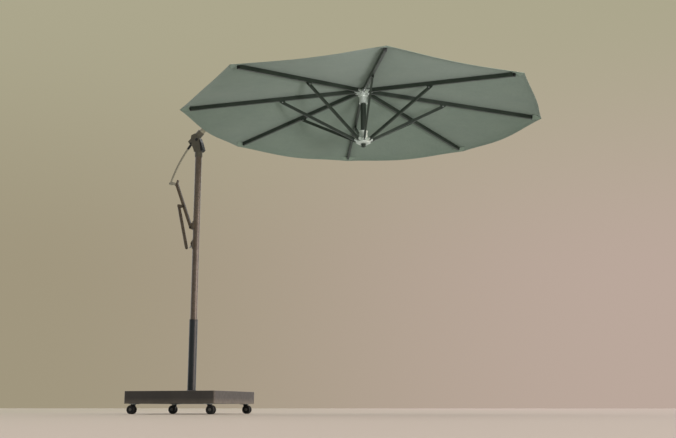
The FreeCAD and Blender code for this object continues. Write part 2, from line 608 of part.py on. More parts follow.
def make_boom():
    """Bent round tube with a cast knuckle at the mast and a cast fork over the canopy."""
    path, end = boom_centre_line()
    slope = math.radians(size("boom_end_angle"))
    start_slope = math.radians(size("boom_start_angle"))
    start = Vector(size("boom_start_x"), 0, size("boom_start_z"))
    heading = Vector(math.cos(start_slope), 0, math.sin(start_slope))

    def swept(radius):
        ring = Part.Wire(Part.makeCircle(radius, start, heading))
        return path.makePipeShell([ring], True, True)

    tube = doc.addObject("Part::Feature", "boom")
    tube.Shape = swept(size("boom_radius")).cut(swept(size("boom_radius") - size("boom_wall")))
    piece(tube, "boom_tube", Placement())

    # knuckle: thick plate on the pivot with an ear for the link, and a round socket for the tube
    pivot_x = size("boom_pivot_x")
    pivot_z = size("boom_pivot_z")
    outline = [(-76, 2308), (-97, 2338), (-71, 2362), (-67, 2393), (-30, 2408), (6, 2372),
               (pivot_x + 26, pivot_z + 6), (pivot_x + 24, pivot_z - 14), (pivot_x + 12, pivot_z - 26),
               (pivot_x - 8, pivot_z - 30), (-46, 2312)]
    plate = prism("knuckle_plate", outline, "dims.knuckle_width")
    socket = slanted("knuckle_socket", "dims.socket_radius", "46", "-10", "2388", size("boom_start_angle"))
    bore = slanted("knuckle_bore", "dims.boom_radius", "80", "dims.boom_start_x", "dims.boom_start_z",
                   size("boom_start_angle"))
    link_slot = box("knuckle_slot", "60", "dims.link_width + 2 * dims.side_gap", "60", "-48 - 60", "0",
                    "2284")
    pin_hole = crosswise("knuckle_pin_hole", "dims.boom_pin_radius + dims.running_gap", "80",
                         "dims.boom_pivot_x",
                         "dims.boom_pivot_z")
    ear_hole = crosswise("knuckle_ear_hole", "dims.link_pin_radius", "80", "dims.link_top_x",
                         "dims.link_top_z")
    knuckle = cut("knuckle", fuse("knuckle_blank", plate, socket), bore, link_slot, pin_hole, ear_hole)
    piece(knuckle, "boom_knuckle")

    # fork: closed cap over the tube's end with two cheeks that hold the hanger pin
    back = end - Vector(math.cos(slope), 0, math.sin(slope)) * size("fork_cover_run")
    cap = slanted("fork_cap", "dims.socket_radius", "dims.fork_cover_run + dims.fork_cap", str(back.x),
                  str(back.z),
                  size("boom_end_angle"))
    cap_bore = slanted("fork_bore", "dims.boom_radius", "dims.fork_cover_run", str(back.x), str(back.z),
                       size("boom_end_angle"))
    cheeks = box("fork_cheeks", "2 * dims.fork_radius", "dims.fork_width", "60",
                 "dims.canopy_reach - dims.fork_radius",
                 "0", "dims.hang_pin_z")
    cheek_round = crosswise("fork_round", "dims.fork_radius", "dims.fork_width", "dims.canopy_reach",
                            "dims.hang_pin_z")
    fork_slot = box("fork_slot", "80", "dims.fork_gap", "48", "dims.canopy_reach - 40", "0",
                    "dims.hang_pin_z - dims.fork_radius")
    fork_hole = crosswise("fork_hole", "dims.hang_pin_radius", "80", "dims.canopy_reach", "dims.hang_pin_z")
    blank = fuse("fork_blank", cap, cheeks, cheek_round)
    piece(cut("fork", blank, cap_bore, fork_slot, fork_hole), "boom_fork")

    ear_pin = crosswise("ear_pin", "dims.link_pin_radius", "dims.knuckle_width + 2", "dims.link_top_x",
                        "dims.link_top_z")
    hang_pin = crosswise("hang_pin", "dims.hang_pin_radius", "dims.fork_width + 6", "dims.canopy_reach",
                         "dims.hang_pin_z")
    piece(group("pins_on_boom", ear_pin, hang_pin), "boom_pins")


# ---------------------------------------------------------------- link, lever and grip
def make_link():
    """Bowed flat bar in pale metal, with a dark clevis end at the knuckle."""
    top = Vector(size("link_top_x"), 0, size("link_top_z"))
    foot = Vector(size("link_foot_x"), 0, size("link_foot_z"))
    chord = (foot - top).Length
    along = (foot - top).normalize()
    outward = Vector(along.z, 0, -along.x)
    half = size("link_depth") / 2
    clevis_length = 58
    bow_radius = ((chord / 2) ** 2 + size("link_bow") ** 2) / (2 * size("link_bow"))
    centre = top + along * (chord / 2) + outward * (size("link_bow") - bow_radius)

    def ray_of(point):
        return (point - centre).normalize()

    split = top + along * clevis_length + outward * 9
    middle = top + along * (chord / 2) + outward * size("link_bow")
    rays = [ray_of(split), ray_of(middle), ray_of(foot)]
    outer = [centre + ray * (bow_radius + half) for ray in rays]
    inner = [centre + ray * (bow_radius - half) for ray in rays]
    bar = Part.Wire([Part.Arc(outer[0], outer[1], outer[2]).toShape(),
                     Part.LineSegment(outer[2], inner[2]).toShape(),
                     Part.Arc(inner[2], inner[1], inner[0]).toShape(),
                     Part.LineSegment(inner[0], outer[0]).toShape()])
    width = size("link_width")
    solid = Part.Face(bar).extrude(Vector(0, width, 0))
    solid.translate(Vector(0, -width / 2, 0))
    across = Vector(0, 1, 0)
    eye = Part.makeCylinder(13, width, foot - across * (width / 2), across)
    hole = Part.makeCylinder(size("link_free_hole"), 2 * width, foot - across * width, across)
    link = doc.addObject("Part::Feature", "link_bar")
    link.Shape = solid.fuse(eye).cut(hole).removeSplitter()
    piece(link, "tension_link", Placement())

    start = ray_of(top)
    edge = ray_of(split)
    clevis_half = half + 2
    flat = Part.makePolygon([centre + start * (bow_radius + clevis_half),
                             centre + edge * (bow_radius + clevis_half),
                             centre + edge * (bow_radius - clevis_half),
                             centre + start * (bow_radius - clevis_half),
                             centre + start * (bow_radius + clevis_half)])
    block = Part.Face(flat).extrude(Vector(0, width, 0))
    block.translate(Vector(0, -width / 2, 0))
    eye = Part.makeCylinder(clevis_half, width, top - across * (width / 2), across)
    pin = Part.makeCylinder(size("link_pin_radius") + size("running_gap"), 2 * width, top - across * width,
                            across)
    clevis = doc.addObject("Part::Feature", "link_end")
    clevis.Shape = block.fuse(eye).cut(pin).cut(solid)
    piece(clevis, "link_clevis", Placement())


def make_lever():
    """Straight lever from the mast bracket, its short head plate, the pale fork for the link, its pins."""
    lean = size("lever_lean")
    head_x, head_z = point_on_lever(size("lever_length"))
    grip_x, grip_z = point_on_lever(size("grip_along_lever"))
    bar = doc.addObject("Part::Box", "lever_bar")
    bind(bar, Length="dims.lever_depth", Width="dims.lever_width", Height="dims.lever_length")
    turn = Rotation(Vector(0, 1, 0), -lean)
    corner = Vector(-size("lever_depth") / 2, -size("lever_width") / 2, 0)
    pivot = Vector(size("lever_pivot_x"), 0, size("lever_pivot_z"))
    bar.Placement = Placement(pivot + turn.multVec(corner), turn)
    boss = crosswise("lever_boss", "dims.lever_boss", "dims.lever_width", "dims.lever_pivot_x",
                     "dims.lever_pivot_z")
    tip = prism("lever_tip", [(head_x - 12, head_z - 14), (head_x + 7, head_z + 38), (head_x + 15,
                                                                                      head_z + 35),
                              (head_x + 3, head_z - 14)], "dims.lever_width")
    pivot_hole = crosswise("lever_pivot_hole", "dims.lever_pin_radius + dims.running_gap", "80",
                           "dims.lever_pivot_x", "dims.lever_pivot_z")
    grip_hole = crosswise("lever_grip_hole", "dims.grip_pin_radius", "80", str(grip_x), str(grip_z))
    arm = cut("lever", fuse("lever_solid", bar, boss, tip), pivot_hole, grip_hole)
    piece(arm, "lever_arm")

    foot_x = size("link_foot_x")
    foot_z = size("link_foot_z")
    outline = [(head_x - 10.5, head_z - 14), (head_x - 2, head_z + 10), (foot_x + 22, foot_z + 12),
               (foot_x, foot_z + 12), (foot_x, foot_z - 12), (foot_x + 22, foot_z - 12)]
    block = prism("fitting_block", outline, "2 * dims.link_width")
    eye = crosswise("fitting_eye", "3 * dims.link_pin_radius", "2 * dims.link_width", "dims.link_foot_x",
                    "dims.link_foot_z")
    slot = box("fitting_slot", "60", "dims.link_width + 4 * dims.side_gap", "60",
               "dims.link_foot_x + 19 - 60", "0",
               "dims.link_foot_z - 30")
    hole = crosswise("fitting_hole", "dims.link_pin_radius", "60", "dims.link_foot_x", "dims.link_foot_z")
    piece(cut("fitting", fuse("fitting_blank", block, eye), arm_shadow(arm), slot, hole), "lever_fitting")

    link_pin = crosswise("link_foot_pin", "dims.link_pin_radius", "2 * dims.link_width + 2",
                         "dims.link_foot_x",
                         "dims.link_foot_z")
    grip_pin = crosswise("grip_pin", "dims.grip_pin_radius", "dims.grip_fork_width + 4", str(grip_x),
                         str(grip_z))
    piece(group("pins_on_lever", link_pin, grip_pin), "lever_pins")


def arm_shadow(arm):
    """A link to the lever, so that the fitting is cut to its face."""
    shadow = doc.addObject("App::Link", "lever_shadow")
    shadow.LinkedObject = arm
    return shadow


def make_grip():
    """Round grip that hangs from two cheeks on the lever; its foot rests beside the latch."""
    grip_x, grip_z = point_on_lever(size("grip_along_lever"))
    top = Vector(grip_x - size("grip_standoff"), 0, grip_z + 6)
    foot = Vector(size("grip_foot_x"), 0, size("grip_foot_z"))
    lean = math.degrees(math.atan2(foot.x - top.x, top.z - foot.z))
    length = (foot - top).Length
    bar = doc.addObject("Part::Cylinder", "grip_bar")
    bind(bar, Radius="dims.grip_radius")
    bar.Height = length
    bar.Placement = Placement(foot, Rotation(Vector(0, 1, 0), -lean))
    ends = [doc.addObject("Part::Sphere", name) for name in ("grip_foot", "grip_top")]
    for ball, centre in zip(ends, (foot, top)):
        bind(ball, Radius="dims.grip_radius")
        ball.Placement = Placement(centre, Rotation())
    outline = [(grip_x + 11, grip_z + 8), (grip_x + 11, grip_z - 8), (top.x + 6, top.z - 14), (top.x - 6,
                                                                                               top.z - 12),
               (top.x - 8, top.z + 10), (top.x + 4, top.z + 12)]
    cheeks = prism("grip_cheeks", outline, "dims.grip_fork_width")
    slot = box("grip_slot", "80", "dims.lever_width + 2 * dims.side_gap", "80", str(grip_x - 35), "0",
               str(grip_z - 40))
    fork = cut("grip_fork", cheeks, slot)
    hole = crosswise("grip_hole", "dims.grip_pin_radius + dims.running_gap", "60", str(grip_x), str(grip_z))
    piece(cut("grip", fuse("grip_blank", bar, ends[0], ends[1], fork), hole), "grip_handle")


# ---------------------------------------------------------------- canopy frame
def rib_angle(number):
    return FIRST_RIB_ANGLE + 360 / RIB_COUNT * (number - 1)


def on_canopy(number, out, height, slope=0):
    """Placement on the radius of one rib, turned down by the slope."""
    turn = Rotation(Vector(0, 0, 1), rib_angle(number))
    base = Vector(size("canopy_reach"), 0, height) + turn.multVec(Vector(out, 0, 0))
    return Placement(base, turn * Rotation(Vector(0, 1, 0), slope))


def rib_slope():
    return math.degrees(math.atan2(size("rib_root_z") - size("rib_tip_z"),
                                   size("rib_tip") - size("rib_root")))


def rib_length():
    return math.hypot(size("rib_root_z") - size("rib_tip_z"), size("rib_tip") - size("rib_root"))


def strut_pin_point():
    """Radius and height of a strut's upper pin."""
    slope = math.radians(rib_slope())
    along = size("strut_joint")
    drop = size("strut_drop")
    return (size("rib_root") + along * math.cos(slope) - drop * math.sin(slope),
            size("rib_root_z") - along * math.sin(slope) - drop * math.cos(slope))


def lug_pair(tag, number, pin_out, pin_up, gap_width, round_end, web):
    """Two plates on one rib's radius with round ends about a pin, deeper towards the hub."""
    root = size("lug_root")
    shoulder = size("hub_core")
    outline = [(root, pin_up + round_end), (pin_out, pin_up + round_end), (pin_out, pin_up - round_end),
               (shoulder, pin_up - web), (root, pin_up - web)]
    width = "(%s + 2 * dims.lug_plate)" % gap_width
    plate = prism("lug_plate" + tag, outline, width)
    end = crosswise("lug_end" + tag, str(round_end), width, str(pin_out), str(pin_up))
    gap = box("lug_gap" + tag, "200", gap_width, "200", "dims.hub_core - 0.5", "0", str(pin_up - 100))
    pair = cut("lugs" + tag, fuse("lug_blank" + tag, plate, end), gap)
    pair.Placement = Placement(Vector(size("canopy_reach"), 0, 0), Rotation(Vector(0, 0, 1),
                                                                            rib_angle(number)))
    return pair


def make_crown_hub():
    """Cast hub at the top of the canopy: beaded collar, core, eight pairs of lugs and their hinge pins."""
    reach = "dims.canopy_reach"
    parts = [
        upright("hub_collar_part", "dims.hub_collar", "dims.hub_core_bottom - dims.hub_bottom", reach,
                z="dims.hub_bottom"),
        upright("hub_bead", "dims.hub_collar + dims.collar_lip", "2 * dims.collar_lip", reach,
                z="dims.hub_bottom"),
        upright("hub_core_part", "dims.hub_core", "dims.hub_core_top - dims.hub_core_bottom", reach,
                z="dims.hub_core_bottom"),
        upright("hub_neck_part", "dims.hub_neck", "dims.hub_top - dims.hub_core_top", reach,
                z="dims.hub_core_top"),
    ]
    for number in range(1, RIB_COUNT + 1):
        parts.append(lug_pair("_crown_%d" % number, number, size("rib_root"), size("rib_root_z"),
                              "(dims.rib_width + 2 * dims.side_gap)", size("crown_lug_round"),
                              size("crown_lug_web")))
        pin = crosswise("rib_pin_%d" % number, "dims.rib_pin_radius",
                        "dims.rib_width + 2 * dims.side_gap + 2.6 * dims.lug_plate")
        holder = doc.addObject("Part::Compound", "rib_pin_holder_%d" % number)
        holder.Links = [pin]
        holder.Placement = on_canopy(number, size("rib_root"), size("rib_root_z"))
        parts.append(holder)
    lower = upright("hub_lower_bore", "dims.spacer_radius + 2 * dims.running_gap",
                    "dims.spacer_top + 4 - dims.hub_bottom", reach, z="dims.hub_bottom")
    upper = upright("hub_upper_bore", "dims.spacer_radius - 1", "200", reach, z="dims.hub_bottom")
    piece(cut("crown", fuse("crown_blank", *parts), lower, upper), "crown_hub")


def make_hanger():
    """Stem through the middle of the cloth, with a flange over it and a lug on the hanger pin."""
    reach = "dims.canopy_reach"
    lug_width = "(dims.fork_gap - 0.6)"
    stem = upright("hanger_stem", "dims.spacer_radius - 1", "dims.stem_top_z - dims.spacer_top - 4", reach,
                   z="dims.spacer_top + 4")
    flange = upright("hanger_flange", "dims.hanger_flange", "dims.hanger_plate", reach, z="dims.hub_top")
    web = box("hanger_web", "2 * dims.hanger_lug", lug_width, "dims.hang_pin_z - dims.stem_top_z + 3",
              "dims.canopy_reach - dims.hanger_lug", "0", "dims.stem_top_z - 3")
    lug = crosswise("hanger_lug", "dims.hanger_lug", lug_width, reach, "dims.hang_pin_z")
    hole = crosswise("hanger_hole", "dims.hang_pin_radius + dims.running_gap", "80", reach,
                     "dims.hang_pin_z")
    piece(cut("hanger", fuse("hanger_blank", stem, flange, web, lug), hole), "canopy_hanger")


def make_runner():
    """Lower hub that holds the struts' feet, and the spacer tube that docks in the crown hub."""
    reach = "dims.canopy_reach"
    bore_radius = size("spacer_radius")
    dish = size("runner_dish")
    dish_top = size("runner_dish_top")
    dish_bottom = size("runner_bottom")
    profile = [(bore_radius, dish_top), (dish, dish_top), (dish, dish_top - 6), (dish - 16, dish_bottom),
               (bore_radius, dish_bottom)]
    bowl = turned("runner_dish_part", profile, "Z")
    bowl_holder = doc.addObject("Part::Compound", "runner_dish_holder")
    bowl_holder.Links = [bowl]
    bowl_holder.Placement = Placement(Vector(size("canopy_reach"), 0, 0), Rotation())
    parts = [
        bowl_holder,
        upright("runner_sleeve", "dims.runner_radius", "dims.runner_top - dims.runner_dish_top", reach,
                z="dims.runner_dish_top"),
        upright("runner_bead", "dims.runner_radius + dims.collar_lip", "2 * dims.collar_lip", reach,
                z="dims.runner_top - 2 * dims.collar_lip"),
        upright("runner_core", "dims.hub_core", "dims.runner_core_rise", reach, z="dims.runner_dish_top"),
    ]
    for number in range(1, RIB_COUNT + 1):
        parts.append(lug_pair("_runner_%d" % number, number, size("strut_foot"), size("strut_foot_z"),
                              "(dims.strut_width + 2 * dims.side_gap)", size("runner_lug_round"),
                              size("strut_foot_z") - dish_top))
    bore = upright("runner_bore", "dims.spacer_radius", "400", reach, z="dims.runner_bottom - 20")
    piece(cut("runner", fuse("runner_blank", *parts), bore), "runner_hub")

    tube = upright("spacer_outer", "dims.spacer_radius",
                   "dims.spacer_top - dims.spacer_bottom - dims.spacer_nose", reach,
                   z="dims.spacer_bottom + dims.spacer_nose")
    nose = upright("spacer_nose_part", "dims.spacer_radius - 13", "dims.spacer_nose + 2", reach,
                   z="dims.spacer_bottom")
    inside = upright("spacer_inner", "dims.spacer_radius - dims.spacer_wall", "600", reach,
                     z="dims.spacer_bottom + dims.spacer_nose + 4")
    piece(cut("spacer", fuse("spacer_blank", tube, nose), inside), "spacer_tube")


def make_rib(number):
    """Rectangular tube with a plugged tip, and a bracket under it that holds the strut's pin."""
    tag = "_%d" % number
    inner_end = size("rib_depth") / 2
    full = rib_length()
    outer = box("rib_outer" + tag, str(inner_end + full), "dims.rib_width", "dims.rib_depth",
                str(-inner_end), "0",
                "-dims.rib_depth / 2")
    inner = box("rib_inner" + tag, str(inner_end + full - 8), "dims.rib_width - 2 * dims.rib_wall",
                "dims.rib_depth - 2 * dims.rib_wall", str(-inner_end - 2), "0",
                "dims.rib_wall - dims.rib_depth / 2")
    root_hole = crosswise("rib_hole" + tag, "dims.rib_pin_radius + dims.running_gap", "60")
    tube = cut("rib_tube" + tag, outer, inner, root_hole)
    joint = size("strut_joint")
    below = size("rib_depth") / 2
    drop = size("strut_drop")
    outline = [(joint - 26, -below), (joint + 26, -below), (joint + 9, -drop - 6), (joint - 9, -drop - 6)]
    cheeks = prism("rib_bracket" + tag, outline, "dims.rib_width")
    room = box("rib_room" + tag, "80", "dims.strut_width + 2 * dims.side_gap", "40", str(joint - 40), "0",
               str(-below - 40))
    pin = crosswise("strut_pin" + tag, "dims.rib_pin_radius", "dims.rib_width", "dims.strut_joint",
                    "-dims.strut_drop")
    bracket = cut("rib_cheeks" + tag, cheeks, room)
    piece(fuse("rib" + tag, tube, bracket, pin), "rib" + tag,
          on_canopy(number, size("rib_root"), size("rib_root_z"), rib_slope()))


def make_strut(number):
    """Rectangular tube with rounded ends; its foot carries a short pin in the runner's open slot."""
    tag = "_%d" % number
    pin_out, pin_up = strut_pin_point()
    run = pin_out - size("strut_foot")
    fall = pin_up - size("strut_foot_z")
    length = math.hypot(run, fall)
    bar = box("strut_bar" + tag, str(length), "dims.strut_width", "dims.strut_depth", "0", "0",
              "-dims.strut_depth / 2")
    ends = [crosswise("strut_end_%s%s" % (word, tag), "dims.strut_depth / 2", "dims.strut_width", str(x))
            for word, x in (("top", 0), ("foot", length))]
    inside = box("strut_inside" + tag, str(length + 60), "dims.strut_width - 2 * dims.strut_wall",
                 "dims.strut_depth - 2 * dims.strut_wall", "-30", "0",
                 "dims.strut_wall - dims.strut_depth / 2")
    hole = crosswise("strut_hole" + tag, "dims.rib_pin_radius + dims.running_gap", "60")
    foot_pin = crosswise("strut_foot_pin" + tag, "dims.rib_pin_radius", "dims.strut_width + dims.side_gap",
                         str(length))
    strut = fuse("strut" + tag, cut("strut_tube" + tag, fuse("strut_blank" + tag, bar, *ends), inside,
                                    hole), foot_pin)
    inward = 180 - math.degrees(math.atan2(fall, run))
    piece(strut, "strut" + tag, on_canopy(number, pin_out, pin_up, inward))


# ---------------------------------------------------------------- canopy cloth
def hem_wave(turn):
    """0 on a rib, 1 half way between two ribs, for an angle measured from a rib."""
    return math.sin(math.radians(turn * RIB_COUNT / 2)) ** 2


def cloth_level(share):
    """Height of the cloth's top over a rib; the share of the radius is 0 at the centre, 1 at the hem."""
    fall = math.tan(math.radians(rib_slope()))
    lift = size("rib_depth") / 2 / math.cos(math.radians(rib_slope())) + size("cloth_gap") + size("cloth")
    if share == 1:
        return size("canopy_corner_z")
    return size("rib_root_z") + lift + fall * (size("rib_root") - share * size("canopy_radius"))


def cloth_point(turn, share, lower):
    """A point of the cloth in the frame of its rib."""
    half_gore = 180 / RIB_COUNT
    from_middle = math.radians(half_gore - abs(turn))
    reach = size("canopy_radius") * math.cos(math.radians(half_gore)) / math.cos(from_middle)
    reach += size("canopy_bulge") * hem_wave(turn)
    radius = max(reach * share, size("cloth_hole"))
    level = cloth_level(share) - size("canopy_sag") * hem_wave(turn) * share ** 2 - lower
    angle = math.radians(turn)
    return Vector(radius * math.cos(angle), radius * math.sin(angle), level)


def make_cloth(number):
    """One eighth of the cloth: from half way to one neighbouring rib to half way to the other."""
    half_gore = 180 / RIB_COUNT
    turns = [half_gore * step / 4 for step in range(-4, 5)]
    shares = [0.024, 0.25, 0.5, 0.75, 0.955, 1.0]
    rows = []
    for share in shares:
        top = [cloth_point(turn, share, 0) for turn in turns]
        bottom = [cloth_point(turn, share, size("cloth")) for turn in turns]
        rows.append((top, bottom))
    faces = []

    def skin(first, second, third, fourth):
        faces.append(Part.Face(Part.makePolygon([first, second, third, first])))
        faces.append(Part.Face(Part.makePolygon([first, third, fourth, first])))

    for (top_in, bottom_in), (top_out, bottom_out) in zip(rows, rows[1:]):
        for left, right in zip(range(len(turns)), range(1, len(turns))):
            skin(top_in[left], top_out[left], top_out[right], top_in[right])
            skin(bottom_in[left], bottom_in[right], bottom_out[right], bottom_out[left])
        for side in (0, -1):
            skin(top_in[side], bottom_in[side], bottom_out[side], top_out[side])
    for top, bottom in (rows[0], rows[-1]):
        for left, right in zip(range(len(turns)), range(1, len(turns))):
            skin(top[left], top[right], bottom[right], bottom[left])
    solid = Part.Solid(Part.makeShell(faces))
    if solid.Volume < 0:
        solid.reverse()
    cloth = doc.addObject("Part::Feature", "cloth_%d" % number)
    cloth.Shape = solid
    piece(cloth, "canopy_panel_%d" % number, on_canopy(number, 0, 0))


# ---------------------------------------------------------------- build, check, write
make_base_cover()
make_base_tray()
make_ballast_slabs()
make_socket()
make_caster_plates()
for corner, (along, across) in enumerate(CORNERS, start=1):
    make_caster(corner, along, across)
make_mast_tube()
make_mast_head()
make_mast_brackets()
make_latch_hook()
make_boom()
make_link()
make_lever()
make_grip()
make_crown_hub()
make_hanger()
make_runner()
for number in range(1, RIB_COUNT + 1):
    make_rib(number)
    make_strut(number)
    make_cloth(number)

doc.recompute()
for thing in doc.Objects:
    if "Invalid" in thing.State or "Error" in thing.State:
        raise RuntimeError("%s did not build: %s" % (thing.Label, thing.State))
for thing in pieces:
    if thing.Shape.isNull() or not thing.Shape.isValid():
        raise RuntimeError("%s has no valid shape" % thing.Label)
for thing in pieces:
    thing.Shape.exportStep("parts/%s.step" % thing.Label)
print(len(pieces), "sub-parts written")
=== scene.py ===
"""Cantilever parasol: cloth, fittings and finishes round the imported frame.

Metres, with the mast at the origin, +X along the boom and +Z up."""
import json
import math

import bmesh
import bpy
import numpy as np
from mathutils import Matrix, Vector, noise


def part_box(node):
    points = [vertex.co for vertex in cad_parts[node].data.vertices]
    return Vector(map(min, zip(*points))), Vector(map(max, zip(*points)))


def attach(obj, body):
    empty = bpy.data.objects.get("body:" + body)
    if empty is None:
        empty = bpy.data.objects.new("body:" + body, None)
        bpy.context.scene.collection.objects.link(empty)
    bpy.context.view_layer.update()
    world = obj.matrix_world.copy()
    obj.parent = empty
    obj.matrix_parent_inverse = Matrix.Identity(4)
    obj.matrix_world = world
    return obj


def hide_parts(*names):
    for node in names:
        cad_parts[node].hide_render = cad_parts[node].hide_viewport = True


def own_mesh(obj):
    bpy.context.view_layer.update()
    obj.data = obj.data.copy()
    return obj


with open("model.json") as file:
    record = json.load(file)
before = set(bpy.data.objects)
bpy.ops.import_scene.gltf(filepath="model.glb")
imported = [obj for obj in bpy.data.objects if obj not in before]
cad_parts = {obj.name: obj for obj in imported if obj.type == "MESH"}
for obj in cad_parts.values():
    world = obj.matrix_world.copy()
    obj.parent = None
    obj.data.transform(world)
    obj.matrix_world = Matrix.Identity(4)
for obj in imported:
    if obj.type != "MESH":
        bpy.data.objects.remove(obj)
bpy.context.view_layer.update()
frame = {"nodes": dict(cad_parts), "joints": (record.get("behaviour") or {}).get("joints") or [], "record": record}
nodes = frame["nodes"]
joints = {joint["name"]: joint for joint in frame["joints"]}

# ---------------------------------------------------------------- driving dimensions
RIB_COUNT = 8
HALF_GORE = math.pi / RIB_COUNT      # angle from a rib to the middle of a gore
RIB_DEPTH = 0.032
RIB_WIDTH = 0.020
CLOTH_GAP = 0.0015                   # under the cloth, over a rib
CLOTH = 0.0012                       # thickness of the cloth
CLOTH_START = 0.062                  # inner edge of the gores, from the canopy axis
HEM_BULGE = 0.022                    # the hem curves outwards between two corners
HEM_SAG = 0.029                      # the hem hangs down between two corners
CORNER_DROP = 0.015                  # the cloth bends down past the ribs' tips
HEM_WIDTH = 0.022
SEAM_HALF = 0.006                    # half the width of the felled seam over a rib
SEAM_RISE = 0.0008                   # the seam's extra thickness on top
HEM_RISE = 0.0010                    # the hem's extra thickness underneath
NO_SEAM = 0.05                       # distance from a seam that shows no stitches of one
CREASE_REACH = 0.16                  # the fine creases fan out from a corner about this far
CREASE_WAVES = 11
CREASE_HEIGHT = 0.0011
RIPPLE_SCALE = 3.1                   # soft unevenness of the whole cloth
RIPPLE_HEIGHT = 0.0030
PAST_TIP = 0.004                     # from a rib's tip to its pocket's open end and its tongue's root
TONGUE = (0.040, 0.012, 0.0022)      # length, width and thickness of the tongue on a rib's end cap
POCKET_GAP = 0.0014                  # between the cloth and a corner pocket at its sewn edge
POCKET_PUFF = 0.0045                 # room in a corner pocket for the rib's tongue
POCKET_TIP = 0.014                   # half the width of a corner pocket at its outer end
POCKET_WING = 0.058                  # what it gains on each side towards its open end
STITCH_WING = 0.0584                 # the same for the edge its stitching is measured from
PATCH_RADIUS = 0.100                 # round patch that covers the gores' inner ends
GRIP_FOOT = (-0.0880, 0, 1.3960)     # ends of the straight grip bar
GRIP_TOP = (-0.1748, 0, 1.7696)
GRIP_SLEEVE = 0.310                  # length of the rubber sleeve on it
GRIP_RADIUS = 0.0131
HUB_LUGS = 0.0156                    # from a rib's middle to the outside of the crown hub's lugs
SOCKET_RADIUS = 0.035                # socket sleeve that stands out of the base
STEPS = 48                           # sides of a turned piece
CAMERA_PLACE = (3.603, -7.164, 0.051)
CAMERA_PITCH = math.radians(101.36)  # 90 degrees looks level
VIEW_TURN = math.radians(17.97)      # the camera looks this far left of +Y
TO_THE_RIGHT = (math.cos(VIEW_TURN), math.sin(VIEW_TURN), 0)
AWAY = (-math.sin(VIEW_TURN), math.cos(VIEW_TURN), 0)
FRONT_LIGHT = (0.33, 0.33, 0.33, 1)  # soft light from -Y
BACK_LIGHT = (1.08, 1.08, 1.08, 1)   # soft light from +Y
KEY_LIGHT = (6.0, 5.0, 4.5, 1)       # a bright patch low on the +X side
KEY_SIDE = (0.99, 0.02, 0.14)        # direction of its middle


# ---------------------------------------------------------------- places read from the frame
def points_of(name):
    """Every vertex of a CAD node."""
    return np.array([vertex.co for vertex in nodes[name].data.vertices])


def middle_of(name):
    low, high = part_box(name)
    return (low + high) / 2


AXIS_X = middle_of("spacer_tube").x


def rib_azimuth(number):
    place = joints["rib_hinge_%d" % number]["pos_m"]
    return math.atan2(place[1], place[0] - AXIS_X)


def rib_frame(number):
    """Turns (outwards, sideways, up) on one rib's radius into the row frame."""
    return Matrix.Translation((AXIS_X, 0, 0)) @ Matrix.Rotation(rib_azimuth(number), 4, "Z")


def beside_rib(name):
    """The vertices of a CAD node of rib 1, as (outwards, sideways, up) on that rib's radius."""
    turn_back = np.array(rib_frame(1).to_3x3())
    return (points_of(name) - np.array((AXIS_X, 0, 0))) @ turn_back


def rib_end():
    """Distance from the canopy axis and height of the middle of rib 1's tip."""
    local = beside_rib("rib_1")
    tip = local[local[:, 0] > local[:, 0].max() - 0.006]
    return tip[:, 0].mean(), tip[:, 2].mean()


def cloth_corner():
    """Distance of the cloth's corner from the canopy axis."""
    local = beside_rib("canopy_panel_1")
    return local[abs(local[:, 1]) < 0.001, 0].max()


HINGE = Vector(joints["rib_hinge_1"]["pos_m"])
HINGE_OUT = math.hypot(HINGE.x - AXIS_X, HINGE.y)
TIP_OUT, TIP_Z = rib_end()
RIB_SLOPE = math.atan2(HINGE.z - TIP_Z, TIP_OUT - HINGE_OUT)
CORNER_OUT = cloth_corner()
CLOTH_LIFT = RIB_DEPTH / 2 / math.cos(RIB_SLOPE) + CLOTH_GAP + CLOTH / 2


# ---------------------------------------------------------------- node helpers
def srgb(red, green, blue):
    """A display colour of 0 to 255 as linear light."""
    def linear(value):
        value /= 255
        return value / 12.92 if value <= 0.04045 else ((value + 0.055) / 1.055) ** 2.4
    return linear(red), linear(green), linear(blue), 1


class Nodes:
    """Short ways to add nodes to a shader tree."""

    def __init__(self, tree):
        self.tree = tree

    def add(self, kind, links=(), values=(), **settings):
        """A node with its settings, its plain values and its links, both given by socket."""
        made = self.tree.nodes.new(kind)
        for name, value in settings.items():
            setattr(made, name, value)
        for socket, value in dict(values).items():
            made.inputs[socket].default_value = value
        for socket, source in dict(links).items():
            self.tree.links.new(source, made.inputs[socket])
        return made

    def ranged(self, source, low, high, to_low=0.0, to_high=1.0, ease="LINEAR"):
        made = self.add("ShaderNodeMapRange", {"Value": source},
                        {"From Min": low, "From Max": high, "To Min": to_low, "To Max": to_high},
                        interpolation_type=ease)
        return made.outputs["Result"]

    def along(self, source, direction, low, high, ease="LINEAR"):
        """How far a point or a direction goes along another one, from 0 to 1 between two bounds."""
        dot = self.add("ShaderNodeVectorMath", {0: source}, {1: direction}, operation="DOT_PRODUCT")
        return self.ranged(dot.outputs["Value"], low, high, ease=ease)

    def camera_ray(self):
        """1 where the camera looks straight at it, 0 for the light that it gives off."""
        return self.add("ShaderNodeLightPath").outputs["Is Camera Ray"]

    def math(self, operation, first, second=None):
        made = self.add("ShaderNodeMath", operation=operation)
        for socket, value in enumerate((first, second)):
            if isinstance(value, (int, float)):
                made.inputs[socket].default_value = value
            elif value is not None:
                self.tree.links.new(value, made.inputs[socket])
        return made.outputs["Value"]

    def mixed(self, share, first, second):
        """Blends two colours, each a linear colour or the output of a node."""
        made = self.add("ShaderNodeMix", data_type="RGBA")
        self.tree.links.new(share, made.inputs["Factor"])
        for socket, value in ((6, first), (7, second)):
            if isinstance(value, tuple):
                made.inputs[socket].default_value = value
            else:
                self.tree.links.new(value, made.inputs[socket])
        return made.outputs[2]


